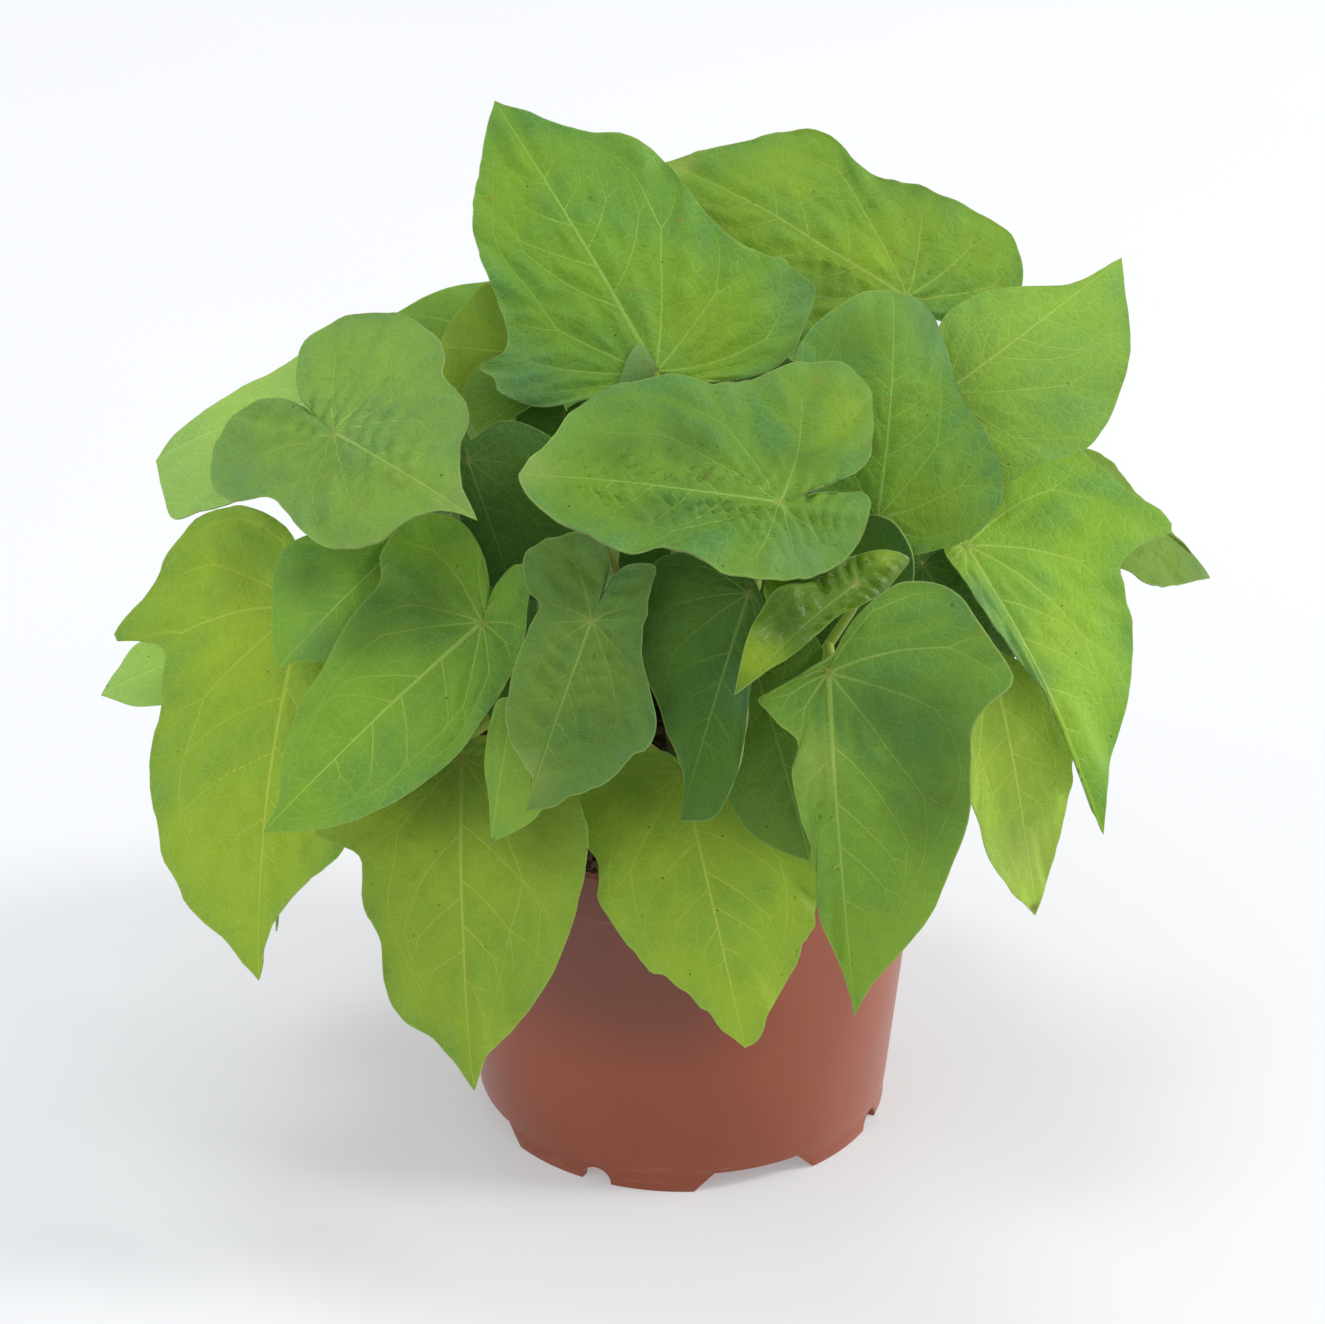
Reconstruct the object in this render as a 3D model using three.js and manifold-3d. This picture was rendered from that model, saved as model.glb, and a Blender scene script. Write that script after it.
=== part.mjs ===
// A sweet potato vine growing in a round nursery pot.
//
// Millimetres, +Z up. The origin is the centre of the pot's foot, on the ground,
// and the plant's showiest side faces -Y. Seven stems rise out of the soil. Every
// leaf is one grown piece, a thin bent blade with its own stalk, and the stalk
// starts just clear of the stem that carries it.

import * as THREE from "three";
import { mergeVertices } from "three/addons/utils/BufferGeometryUtils.js";
import Module from "manifold-3d";

const wasm = await Module();
wasm.setup();

// ---------------------------------------------------------------- driving sizes

const GAP = 0.3; // air left between pieces that touch
const ROUND_SIDES = 40; // facets round the pot and the soil

const POT = {
  height: 112,
  footRadius: 64,
  footThickness: 3.2,
  footHeight: 6.5, // from the ground to the underside of the floor
  floor: 2,
  shoulderRadius: 73.2, // top of the tapered wall, just under the collar
  wall: 1.9,
  collarRadius: 75,
  collarHeight: 15,
  collarWall: 2.4,
  lipRound: 0.7,
  drainRadius: 5,
  drainRing: 38,
  drainCount: 6,
};

// The foot ring is cut away in four small arches and four wide bridges. Angles are
// in degrees from -Y towards +X.
const ARCH = { count: 4, start: -24, halfWidth: 4.8, height: 5 };
const BRIDGE = { count: 4, start: 21, halfWidth: 19.5, halfTop: 13.5 };

const SOIL = { edge: 100.5, shoulder: 102.5, middle: 103, shoulderRadius: 40 };

const STEM = { radius: 2.2, sides: 7, steps: 12, socketClearance: 0.4 };
const STALK = { radius: 1.3, sides: 5, steps: 5, lean: 0.7, reach: 0.35 };

const BLADE = {
  thickness: 0.8,
  midribRounding: 4, // how softly the two halves meet along the midrib
  pointSpacing: 18, // along the edge
  rings: [0.5, 1], // shares of the way from the stalk to the edge
};

const COLOURS = {
  pot: 0x87493c,
  soil: 0x2c221c,
  stem: 0x6f6a3c,
  yellow: 0x9db648,
  bright: 0x86ae4d,
  mid: 0x6c9c4c,
  dark: 0x4c7f41,
};

// ---------------------------------------------------------------- stems

// Each stem stands straight in the soil, then leans outwards as it climbs.
const STEMS = {
  stem_front: [[2, -22, 84], [2, -22, 100], [3, -30, 135], [2, -44, 168]],
  stem_front_left: [[-24, -14, 84], [-24, -14, 100], [-34, -22, 140], [-56, -40, 176]],
  stem_front_right: [[26, -14, 84], [26, -14, 100], [34, -22, 135], [48, -44, 166]],
  stem_centre: [[-2, 4, 84], [-2, 4, 100], [-4, 2, 150], [0, -4, 205]],
  stem_right: [[26, 14, 84], [26, 14, 100], [36, 14, 140], [56, 8, 182]],
  stem_left: [[-28, 16, 84], [-28, 16, 100], [-42, 18, 140], [-66, 14, 184]],
  stem_back: [[2, 34, 84], [2, 34, 100], [2, 42, 140], [0, 58, 186]],
};

// ---------------------------------------------------------------- leaf outlines

// A half outline runs from the tip (not listed) to the notch where the stalk joins.
// Each point is [along the midrib from the notch, out from the midrib]. These two
// are shares of the leaf's length, and serve both halves.
const HEART = [
  [0.86, 0.09], [0.7, 0.2], [0.5, 0.33], [0.3, 0.43], [0.1, 0.47], [-0.08, 0.43],
  [-0.19, 0.32], [-0.21, 0.18], [-0.13, 0.06], [-0.03, 0],
];
const SHOULDERED = [
  [0.85, 0.08], [0.64, 0.19], [0.45, 0.28], [0.28, 0.38], [0.17, 0.53], [0.04, 0.47],
  [-0.1, 0.42], [-0.2, 0.3], [-0.2, 0.15], [-0.11, 0.05], [-0.03, 0],
];

// ---------------------------------------------------------------- leaves

// stem, at   the stem that carries the leaf, and how far up it
// base, tip  where the stalk meets the blade, and the blade's tip
// face       the way the upper side looks
// arch       rise of the midrib's middle, as a share of the length
// fold       slope of the left and the right half away from the midrib
// bow        sideways push on the stalk, where it goes round a neighbour
// left, right  half outlines in mm, seen from above with the tip ahead; the last
//            left point is the notch
const FRONT_LEAVES = {
  leaf_crown_left: {
    stem: "stem_centre", at: 0.96, base: [-8, -22, 247], tip: [-55, 34, 309],
    face: [-0.01, -0.75, 0.66], arch: 0.06, fold: [-0.1, -0.12], colour: "mid",
    left: [[88, 7], [78, 15], [66, 23], [54, 27], [39, 29], [29, 32], [26, 35], [25, 43],
      [20, 41], [17, 42], [8, 34], [2, 20], [-1, 4]],
    right: [[87, 6], [79, 12], [65, 28], [54, 34], [37, 35], [22, 39], [13, 48], [2, 52],
      [-12, 37], [-14, 29], [-8, 10]],
  },
  leaf_crown_right: {
    stem: "stem_centre", at: 0.88, base: [65, 25, 253], tip: [-6, 60, 284],
    face: [0.01, -0.69, 0.73], arch: 0.05, fold: [-0.05, -0.12], colour: "bright",
    left: [[80, 7], [68, 12], [56, 17], [40, 25], [27, 32], [17, 36], [9, 32], [4, 24], [0, 13],
      [-3, 3]],
    right: [[77, 8], [67, 20], [57, 32], [47, 34], [36, 30], [28, 31], [16, 36], [-1, 38],
      [-13, 38], [-23, 29], [-25, 23], [-20, 6], [-12, 0]],
  },
  leaf_right_upper: {
    stem: "stem_right", at: 0.96, base: [75, -8, 236], tip: [125, 8, 271],
    face: [0.04, -0.93, 0.36], arch: 0.05, fold: [-0.08, -0.08], colour: "bright",
    left: [[47, 3], [35, 11], [26, 16], [14, 18], [5, 13], [-2, 3]],
    right: [[57, 10], [51, 20], [40, 30], [29, 36], [21, 37], [9, 33], [-2, 31], [-7, 19], [-6, 9]],
  },
  leaf_centre_right: {
    stem: "stem_right", at: 0.8, base: [54, -42, 211], tip: [59, -4, 265],
    face: [0.11, -0.82, 0.57], arch: 0.16, fold: [-0.16, -0.2], colour: "mid",
    left: [[65, 7], [62, 12], [54, 21], [43, 27], [27, 27], [14, 25], [3, 18], [-6, 8], [-2, 0]],
    right: [[63, 9], [50, 15], [36, 20], [27, 28], [16, 34], [9, 35], [-1, 29], [-6, 19], [-8, 9]],
  },
  leaf_centre: {
    stem: "stem_centre", at: 0.78, base: [25, -90, 235], tip: [-43, -98, 246],
    face: [0.19, -0.43, 0.88], arch: 0.03, fold: [-0.05, -0.06], colour: "mid",
    left: [[69, 3], [66, 9], [62, 13], [52, 19], [45, 23], [38, 23], [30, 20], [22, 23], [13, 26],
      [1, 25], [-12, 20], [-20, 12], [-25, -4], [-23, -9], [-17, -8], [-10, -5], [-5, -3]],
    right: [[66, 6], [62, 11], [54, 26], [42, 36], [25, 41], [17, 40], [2, 48], [-10, 55], [-22, 56],
      [-28, 49], [-29, 37], [-28, 29], [-25, 18], [-11, 7]],
  },
  leaf_left_round: {
    stem: "stem_left", at: 0.97, base: [-95, -58, 242], tip: [-54, -102, 235],
    face: [-0.4, -0.5, 0.77], arch: 0.06, fold: [-0.1, -0.1], colour: "bright",
    left: [[49, 7], [42, 14], [37, 22], [31, 26], [18, 29], [10, 36], [-5, 40], [-21, 39],
      [-33, 31], [-37, 20], [-30, 10], [-21, 4], [-7, 1]],
    right: [[53, 2], [44, 9], [40, 19], [32, 25], [21, 28], [2, 25], [-6, 24], [-16, 29],
      [-28, 30], [-37, 22], [-40, 13], [-37, 5], [-25, -2]],
  },
  leaf_far_left: {
    stem: "stem_left", at: 0.9, base: [-103, 15, 225], tip: [-156, 10, 207], bow: [0, -20, 0],
    face: [-0.21, -0.57, 0.8], arch: 0.08, fold: [-0.08, -0.08], colour: "bright",
    left: [[56, 10], [55, 21], [46, 23], [27, 26], [12, 24], [-1, 18], [-6, 8], [-3, 0]],
    right: [[50, 4], [38, 8], [23, 13], [12, 17], [4, 21], [-6, 17], [-6, 5]],
  },
  leaf_left_hanging: {
    stem: "stem_left", at: 0.78, base: [-105, -62, 192], tip: [-120, -92, 90],
    face: [-0.45, -0.84, 0.31], arch: 0.07, fold: [-0.12, -0.1], colour: "yellow",
    left: [[99, 2], [86, 7], [74, 16], [64, 25], [49, 28], [32, 28], [16, 25], [0, 20],
      [-9, 10], [-9, 2], [-5, 0]],
    right: [[99, 10], [92, 21], [83, 31], [72, 37], [58, 41], [46, 42], [31, 40], [21, 44],
      [20, 54], [21, 62], [9, 56], [-3, 52], [-18, 43], [-23, 32], [-23, 23], [-19, 13], [-12, 5]],
  },
  leaf_left_mid: {
    stem: "stem_front_left", at: 0.8, base: [-78, -72, 214], tip: [-110, -88, 185], bow: [-8, 0, 0],
    face: [-0.1, -0.82, 0.56], arch: 0.06, fold: [-0.1, -0.1], colour: "mid",
    left: [[40, 3], [35, 8], [28, 11], [16, 12], [6, 10], [-2, 6], [-2, 0]],
    right: [[41, 7], [33, 15], [25, 21], [19, 22], [9, 17], [-1, 11], [-4, 4]],
  },
  leaf_left_centre: {
    stem: "stem_front_left", at: 0.92, base: [-54, -92, 201], tip: [-112, -118, 151],
    face: [-0.1, -0.83, 0.55], arch: 0.07, fold: [-0.1, -0.1], colour: "bright",
    left: [[71, 9], [57, 17], [44, 21], [31, 22], [18, 20], [-2, 13], [-13, 4], [-19, -2],
      [-18, -6], [-11, -6], [-3, -2]],
    right: [[72, 3], [64, 10], [52, 17], [40, 20], [25, 25], [12, 28], [6, 34], [-6, 35],
      [-12, 31], [-15, 23], [-10, 9]],
  },
  leaf_centre_small: {
    stem: "stem_front", at: 0.86, base: [-24, -113, 211], tip: [-41, -134, 166],
    face: [-0.05, -0.9, 0.43], arch: 0.06, fold: [-0.12, -0.14], colour: "mid",
    left: [[47, 8], [40, 16], [30, 22], [23, 25], [18, 24], [10, 19], [1, 14], [-10, 12],
      [-19, 11], [-19, 8], [-16, 3], [-6, 0]],
    right: [[44, 1], [39, 5], [36, 9], [29, 13], [18, 15], [8, 15], [0, 15], [-2, 18],
      [-9, 22], [-16, 19], [-20, 12], [-20, 4], [-16, 1]],
  },
  leaf_centre_dark: {
    stem: "stem_front", at: 0.95, base: [17, -106, 216], tip: [-1, -124, 158],
    face: [-0.16, -0.93, 0.34], arch: 0.06, fold: [-0.12, -0.2], colour: "dark",
    left: [[60, 8], [54, 10], [45, 11], [34, 10], [24, 8], [13, 7], [3, 5], [-4, 0]],
    right: [[56, 1], [50, 3], [41, 10], [34, 15], [28, 21], [22, 23], [10, 26], [0, 27],
      [-4, 22], [-8, 13], [-8, 6]],
  },
  leaf_front_right: {
    stem: "stem_front_right", at: 0.97, base: [38, -112, 196], tip: [46, -136, 106],
    face: [-0.11, -0.96, 0.25], arch: 0.08, fold: [-0.05, -0.2], colour: "bright",
    left: [[85, 5], [74, 15], [64, 23], [51, 29], [40, 34], [25, 36], [15, 37], [10, 41],
      [4, 48], [-3, 45], [-11, 40], [-19, 35], [-22, 27], [-22, 20], [-14, 8], [-5, 2]],
    right: [[86, 1], [74, 4], [63, 7], [49, 7], [35, 10], [25, 11], [17, 9], [12, 14],
      [8, 17], [6, 19], [2, 11]],
  },
  leaf_front_left_drop: {
    stem: "stem_front_left", at: 0.62, base: [-60, -95, 162], tip: [-57, -125, 75],
    face: [-0.15, -0.94, 0.32], arch: 0.08, fold: [-0.1, -0.1], colour: "yellow",
    left: [[83, 4], [72, 14], [62, 22], [51, 28], [38, 32], [28, 34], [21, 35], [12, 32],
      [2, 25], [-4, 16], [-6, 5], [-4, 0]],
    right: [[79, 8], [72, 18], [62, 23], [49, 24], [38, 28], [27, 29], [24, 33], [20, 42],
      [11, 36], [3, 28], [-3, 18], [-6, 8]],
  },
  leaf_front_centre_drop: {
    stem: "stem_front", at: 0.66, base: [0, -92, 156], tip: [17, -128, 91],
    face: [-0.02, -0.88, 0.48], arch: 0.08, fold: [-0.08, -0.08], colour: "yellow",
    left: [[75, 4], [65, 11], [56, 20], [42, 28], [28, 31], [14, 29], [2, 24], [-4, 14],
      [-5, 4], [-3, 0]],
    right: [[71, 4], [63, 9], [54, 16], [47, 22], [37, 27], [28, 30], [20, 28], [9, 33],
      [2, 34], [-4, 28], [-8, 21], [-9, 12], [-7, 4]],
  },
  leaf_right_hanging: {
    stem: "stem_right", at: 0.88, base: [81, -22, 194], tip: [120, -66, 124],
    face: [0.27, -0.74, 0.62], arch: 0.07, fold: [-0.1, 0.3], colour: "bright",
    left: [[81, 5], [74, 10], [67, 17], [55, 27], [42, 35], [30, 38], [23, 41], [20, 49],
      [19, 63], [6, 59], [-7, 54], [-16, 49], [-19, 38], [-17, 23], [-11, 11], [-5, 1]],
    right: [[83, 1], [72, 1], [60, 1], [47, 2], [33, 5], [21, 7], [10, 7], [-1, 7]],
  },
  leaf_far_right: {
    stem: "stem_right", at: 0.72, base: [113, 32, 191], tip: [168, 68, 145],
    face: [0.73, -0.43, 0.53], arch: 0.1, fold: [-0.08, -0.08], colour: "bright",
    left: [[50, 1], [33, 9], [21, 16], [12, 17], [2, 13], [-6, 4], [-4, 0]],
    right: [[53, 15], [34, 23], [25, 22], [11, 20], [1, 15], [-3, 4]],
  },
  leaf_right_low: {
    stem: "stem_front_right", at: 0.6, base: [88, -40, 166], tip: [102, -58, 93], bow: [-16, -16, 0],
    face: [0.3, -0.91, 0.28], arch: 0.07, fold: [-0.1, -0.1], colour: "yellow",
    left: [[67, 5], [53, 11], [45, 15], [36, 17], [21, 17], [12, 14], [4, 10], [-2, 2]],
    right: [[65, 8], [53, 13], [42, 14], [31, 16], [14, 15], [4, 10], [-1, 3]],
  },
  leaf_left_low_small: {
    stem: "stem_left", at: 0.68, base: [-139, -28, 162], tip: [-168, -40, 154], bow: [0, -16, 16],
    face: [0.06, -0.62, 0.78], arch: 0.08, fold: [-0.08, -0.08], colour: "bright",
    left: [[26, 7], [17, 11], [6, 12], [-1, 5], [-2, 0]],
    right: [[25, 5], [17, 10], [8, 8], [0, 5]],
  },
  leaf_small_left: {
    stem: "stem_front", at: 0.58, base: [-45, -110, 185], tip: [-51, -121, 150],
    face: [-0.11, -0.94, 0.31], arch: 0.06, fold: [-0.1, -0.1], colour: "bright",
    left: [[29, 10], [20, 14], [10, 13], [1, 9], [-3, 3], [-2, -1]],
    right: [[26, 2], [15, 5], [5, 5], [-1, 4]],
  },
  leaf_behind_dark: {
    stem: "stem_front", at: 0.78, base: [18, -97, 194], tip: [34, -114, 141],
    face: [0.11, -0.94, 0.33], arch: 0.06, fold: [-0.1, -0.1], colour: "mid",
    left: [[49, 3], [38, 6], [26, 9], [16, 13], [9, 17], [3, 19], [-4, 14], [-5, 4], [-2, -1]],
    right: [[51, 9], [45, 14], [32, 17], [22, 16], [9, 13], [-1, 7]],
  },
  leaf_young_curled: {
    stem: "stem_front_right", at: 0.88, base: [45, -104, 218], tip: [13, -130, 198],
    face: [0.08, -0.67, 0.74], arch: 0.1, fold: [-0.3, -0.3], colour: "yellow",
    left: [[36, 2], [27, 4], [20, 4], [9, 4], [3, 5], [-4, 6], [-13, 5], [-17, 4], [-16, 1]],
    right: [[37, 6], [31, 9], [25, 11], [20, 12], [14, 11], [3, 8], [-5, 7], [-12, 3]],
  },
  leaf_inner_left: {
    stem: "stem_front_left", at: 0.97, base: [-59, -60, 235], tip: [-46, -72, 199],
    face: [0.21, -0.9, 0.38], arch: 0.05, fold: [-0.1, -0.1], colour: "dark",
    left: [[43, 7], [36, 19], [24, 26], [10, 28], [-1, 22], [-7, 13], [-5, 3]],
    right: [[34, 6], [23, 8], [12, 7], [1, 4], [-7, 2], [-10, -2]],
  },
  leaf_inner_top: {
    stem: "stem_centre", at: 0.7, base: [-40, -12, 239], tip: [-59, -23, 229],
    face: [0.07, -0.78, 0.62], arch: 0.05, fold: [-0.1, -0.1], colour: "bright",
    left: [[21, 3], [14, 3], [6, 3], [0, 4], [-4, 2], [-2, 0]],
    right: [[23, 7], [20, 12], [9, 16], [-1, 13], [-4, 6]],
  },
  leaf_left_bright: {
    stem: "stem_centre", at: 0.62, base: [-48, -2, 245], tip: [-70, -8, 249],
    face: [0.31, -0.75, 0.58], arch: 0.05, fold: [-0.1, -0.1], colour: "yellow",
    left: [[23, 7], [19, 14], [13, 16], [6, 14], [-1, 7], [-3, 0]],
    right: [[21, 6], [15, 14], [8, 21], [1, 17], [-3, 8]],
  },
  leaf_left_back: {
    stem: "stem_left", at: 0.84, base: [-54, 22, 242], tip: [-85, 28, 247],
    face: [0.01, -0.6, 0.8], arch: 0.05, fold: [-0.1, -0.1], colour: "bright",
    left: [[21, 8], [8, 13], [-3, 11], [-7, 3], [-3, -1]],
    right: [[26, 6], [21, 11], [10, 18], [2, 19], [-4, 11]],
  },
  leaf_right_inner: {
    stem: "stem_front_right", at: 0.72, base: [69, -22, 188], tip: [93, -18, 143],
    face: [0.37, -0.92, 0.12], arch: 0.06, fold: [-0.1, -0.1], colour: "dark",
    left: [[40, 12], [25, 17], [9, 15], [-1, 8], [-3, 1]],
    right: [[35, 11], [17, 14], [4, 13], [-6, 9], [-8, 2]],
  },
  leaf_young_bud: {
    stem: "stem_front_right", at: 0.8, base: [32, -104, 218], tip: [22, -108, 214],
    face: [0.1, -0.8, 0.6], arch: 0.1, fold: [-0.4, -0.4], colour: "yellow",
    left: [[11, 2], [4, 2], [0, 2], [-2, 0]],
    right: [[11, 3], [8, 6], [4, 5], [-1, 3]],
  },
};

// Leaves deep inside the plant, heart shaped and scaled by `width`.
const INNER_LEAVES = {
  leaf_inner_right: {
    stem: "stem_right", at: 0.5, base: [44, -42, 202], tip: [48, -32, 150],
    face: [-0.3, -0.6, 0.7], width: 0.86,
  },
  leaf_inner_centre: {
    stem: "stem_back", at: 0.5, base: [2, 6, 177], tip: [5, 6, 124],
    face: [-0.3, -0.85, 0.4], width: 0.95,
  },
  leaf_inner_low_left: {
    stem: "stem_left", at: 0.4, base: [-58, -32, 181], tip: [-54, -32, 140],
    face: [0.3, -0.6, 0.7], width: 0.9,
  },
  leaf_inner_up_left: {
    stem: "stem_front_left", at: 0.7, base: [-34, -12, 230], tip: [-39, -17, 204], bow: [-8, 0, 0],
    face: [0, -1, 0.15], width: 1.1,
  },
};

// Leaves round the back and sides. base and tip are [degrees from -Y towards +X,
// distance from the axis, height], and rise is how far the upper side looks up.
const OUTER_LEAVES = {
  leaf_right_side: {
    stem: "stem_right", at: 0.56, base: [84, 76, 150], tip: [88, 112, 80],
    rise: 30, half: HEART, width: 0.9, colour: "yellow",
  },
  leaf_right_mid_back: {
    stem: "stem_right", at: 0.62, base: [93, 86, 168], tip: [97, 132, 124],
    rise: 42, half: HEART, width: 0.7, bow: [-6, 4, 10], colour: "bright",
  },
  leaf_right_top_back: {
    stem: "stem_right", at: 0.98, base: [118, 84, 226], tip: [114, 134, 196],
    rise: 62, half: HEART, width: 0.76, bow: [0, -8, 8], colour: "mid",
  },
  leaf_right_low_back: {
    stem: "stem_right", at: 0.5, base: [118, 84, 150], tip: [116, 116, 80],
    rise: 25, half: HEART, width: 0.95, colour: "yellow",
  },
  leaf_back_low_1: {
    stem: "stem_back", at: 0.56, base: [144, 97, 165], tip: [143, 135, 90],
    rise: 25, half: SHOULDERED, width: 0.95, colour: "yellow",
  },
  leaf_back_low_2: {
    stem: "stem_back", at: 0.66, base: [170, 82, 152], tip: [172, 112, 76],
    rise: 22, half: HEART, width: 0.95, colour: "bright",
  },
  leaf_back_low_3: {
    stem: "stem_back", at: 0.5, base: [193, 97, 172], tip: [195, 141, 94],
    rise: 25, half: SHOULDERED, width: 1, bow: [-8, 0, 0], colour: "yellow",
  },
  leaf_back_low_4: {
    stem: "stem_left", at: 0.5, base: [218, 84, 156], tip: [217, 118, 78],
    rise: 22, half: HEART, width: 0.88, colour: "bright",
  },
  leaf_left_low_back: {
    stem: "stem_left", at: 0.56, base: [258, 92, 146], tip: [254, 134, 78],
    rise: 25, half: SHOULDERED, width: 0.76, colour: "yellow",
  },
  leaf_left_side: {
    stem: "stem_left", at: 0.45, base: [289, 94, 141], tip: [287, 128, 75],
    rise: 28, half: HEART, width: 0.72, colour: "bright",
  },
  leaf_back_mid_1: {
    stem: "stem_right", at: 0.62, base: [133, 72, 190], tip: [129, 124, 142],
    rise: 48, half: HEART, width: 0.93, colour: "bright",
  },
  leaf_back_mid_2: {
    stem: "stem_back", at: 0.8, base: [150, 64, 214], tip: [152, 126, 168],
    rise: 50, half: HEART, width: 0.95, colour: "mid",
  },
  leaf_back_mid_3: {
    stem: "stem_back", at: 0.88, base: [184, 62, 208], tip: [183, 124, 158],
    rise: 50, half: SHOULDERED, width: 0.95, bow: [0, -8, 8], colour: "bright",
  },
  leaf_back_mid_4: {
    stem: "stem_back", at: 0.72, base: [207, 64, 198], tip: [209, 130, 150],
    rise: 50, half: HEART, width: 0.95, colour: "mid",
  },
  leaf_left_mid_back: {
    stem: "stem_left", at: 0.62, base: [238, 78, 184], tip: [243, 136, 138],
    rise: 50, half: HEART, width: 0.9, colour: "bright",
  },
  leaf_left_top_back: {
    stem: "stem_left", at: 0.93, base: [240, 60, 214], tip: [245, 120, 186],
    rise: 60, half: HEART, width: 0.9, colour: "mid",
  },
  leaf_back_top_3: {
    stem: "stem_back", at: 0.98, base: [176, 30, 252], tip: [175, 96, 238],
    rise: 78, half: HEART, width: 0.85, bow: [0, -16, 0], colour: "bright",
  },
  leaf_back_top_1: {
    stem: "stem_back", at: 0.95, base: [152, 38, 230], tip: [148, 106, 208],
    rise: 70, half: HEART, width: 0.9, bow: [0, -8, 0], colour: "mid",
  },
  leaf_back_top_2: {
    stem: "stem_centre", at: 0.5, base: [200, 40, 224], tip: [198, 108, 202],
    rise: 68, half: SHOULDERED, width: 0.95, colour: "mid",
  },
};

// ---------------------------------------------------------------- solids

// Closes a geometry into a solid: shared corners are merged, and triangles that
// have shrunk to nothing on an axis are left out.
function toSolid(geometry) {
  const bare = geometry.clone();
  bare.deleteAttribute("normal");
  bare.deleteAttribute("uv");
  const merged = mergeVertices(bare, 1e-4);
  const corners = merged.index.array;
  const kept = [];
  for (let i = 0; i < corners.length; i += 3) {
    const [a, b, c] = corners.slice(i, i + 3);
    if (a !== b && b !== c && c !== a) kept.push(a, b, c);
  }
  const triVerts = Uint32Array.from(kept);
  return new wasm.Manifold(new wasm.Mesh({
    numProp: 3,
    vertProperties: merged.attributes.position.array,
    triVerts,
  }));
}

function toMesh(name, solid, colour, roughness) {
  const { vertProperties, triVerts } = solid.getMesh();
  const geometry = new THREE.BufferGeometry();
  geometry.setAttribute("position", new THREE.BufferAttribute(vertProperties, 3));
  geometry.setIndex(new THREE.BufferAttribute(triVerts, 1));
  geometry.computeVertexNormals();
  const material = new THREE.MeshStandardMaterial({ color: COLOURS[colour], roughness, metalness: 0 });
  const mesh = new THREE.Mesh(geometry, material);
  mesh.name = name;
  return mesh;
}

// Turns a profile of [radius, height] points about the Z axis.
function turned(profile) {
  const points = profile.map(([r, z]) => new THREE.Vector2(r, z));
  return toSolid(new THREE.LatheGeometry(points, ROUND_SIDES).rotateX(Math.PI / 2));
}

// A round bar of even thickness along a curve.
function bar(curve, radius, sides, steps) {
  const section = new THREE.Shape();
  for (let i = 0; i < sides; i += 1) {
    const angle = (2 * Math.PI * i) / sides;
    const corner = [radius * Math.cos(angle), radius * Math.sin(angle)];
    if (i === 0) section.moveTo(...corner);
    else section.lineTo(...corner);
  }
  return toSolid(new THREE.ExtrudeGeometry(section, { extrudePath: curve, steps }));
}

// ---------------------------------------------------------------- pot and soil

const FLOOR_TOP = POT.footHeight + POT.floor;
const WALL_SLOPE = (POT.shoulderRadius - POT.footRadius) / (POT.height - POT.collarHeight);

// Radius of the tapered wall's inner face at height z.
function innerRadius(z) {
  return POT.footRadius + WALL_SLOPE * z - POT.wall;
}

function potBody() {
  const { height, footRadius, footHeight, collarRadius, collarHeight, collarWall, lipRound } = POT;
  const footInner = footRadius - POT.footThickness;
  const lipInner = collarRadius - collarWall;
  const ledge = 0.5; // the wall stands this far proud of the foot
  return turned([
    [0, footHeight],
    [footInner, footHeight],
    [footInner, 0],
    [footRadius, 0],
    [footRadius, footHeight],
    [footRadius + ledge, footHeight + ledge],
    [POT.shoulderRadius, height - collarHeight],
    [collarRadius, height - collarHeight + ledge],
    [collarRadius, height - lipRound],
    [collarRadius - lipRound, height],
    [lipInner + lipRound, height],
    [lipInner, height - lipRound],
    [innerRadius(FLOOR_TOP), FLOOR_TOP],
    [0, FLOOR_TOP],
  ]);
}

// A cutter that reaches through the foot ring, drawn as [sideways, height] and
// pushed outwards at an angle from -Y towards +X.
function footCutter(shape, degrees) {
  const depth = 12;
  const start = POT.footRadius - depth + 3;
  const cutter = new THREE.ExtrudeGeometry(shape, { depth, bevelEnabled: false, curveSegments: 5 });
  cutter.translate(0, 0, start);
  cutter.rotateX(Math.PI / 2);
  cutter.rotateZ(THREE.MathUtils.degToRad(degrees));
  return toSolid(cutter);
}

function archShape() {
  const shape = new THREE.Shape();
  const straight = ARCH.height - ARCH.halfWidth;
  shape.moveTo(-ARCH.halfWidth, -2);
  shape.lineTo(ARCH.halfWidth, -2);
  shape.lineTo(ARCH.halfWidth, straight);
  shape.absarc(0, straight, ARCH.halfWidth, 0, Math.PI);
  return shape;
}

function bridgeShape() {
  const below = -2;
  const above = POT.footHeight - 0.1;
  const flare = (BRIDGE.halfWidth - BRIDGE.halfTop) / above;
  const shape = new THREE.Shape();
  shape.moveTo(-BRIDGE.halfWidth + flare * below, below);
  shape.lineTo(BRIDGE.halfWidth - flare * below, below);
  shape.lineTo(BRIDGE.halfTop, above);
  shape.lineTo(-BRIDGE.halfTop, above);
  return shape;
}

function drainHole(index) {
  const length = 10;
  const hole = new THREE.CylinderGeometry(POT.drainRadius, POT.drainRadius, length, 12);
  hole.rotateX(Math.PI / 2);
  hole.translate(0, -POT.drainRing, FLOOR_TOP - POT.floor / 2);
  hole.rotateZ((2 * Math.PI * index) / POT.drainCount);
  return toSolid(hole);
}

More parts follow.
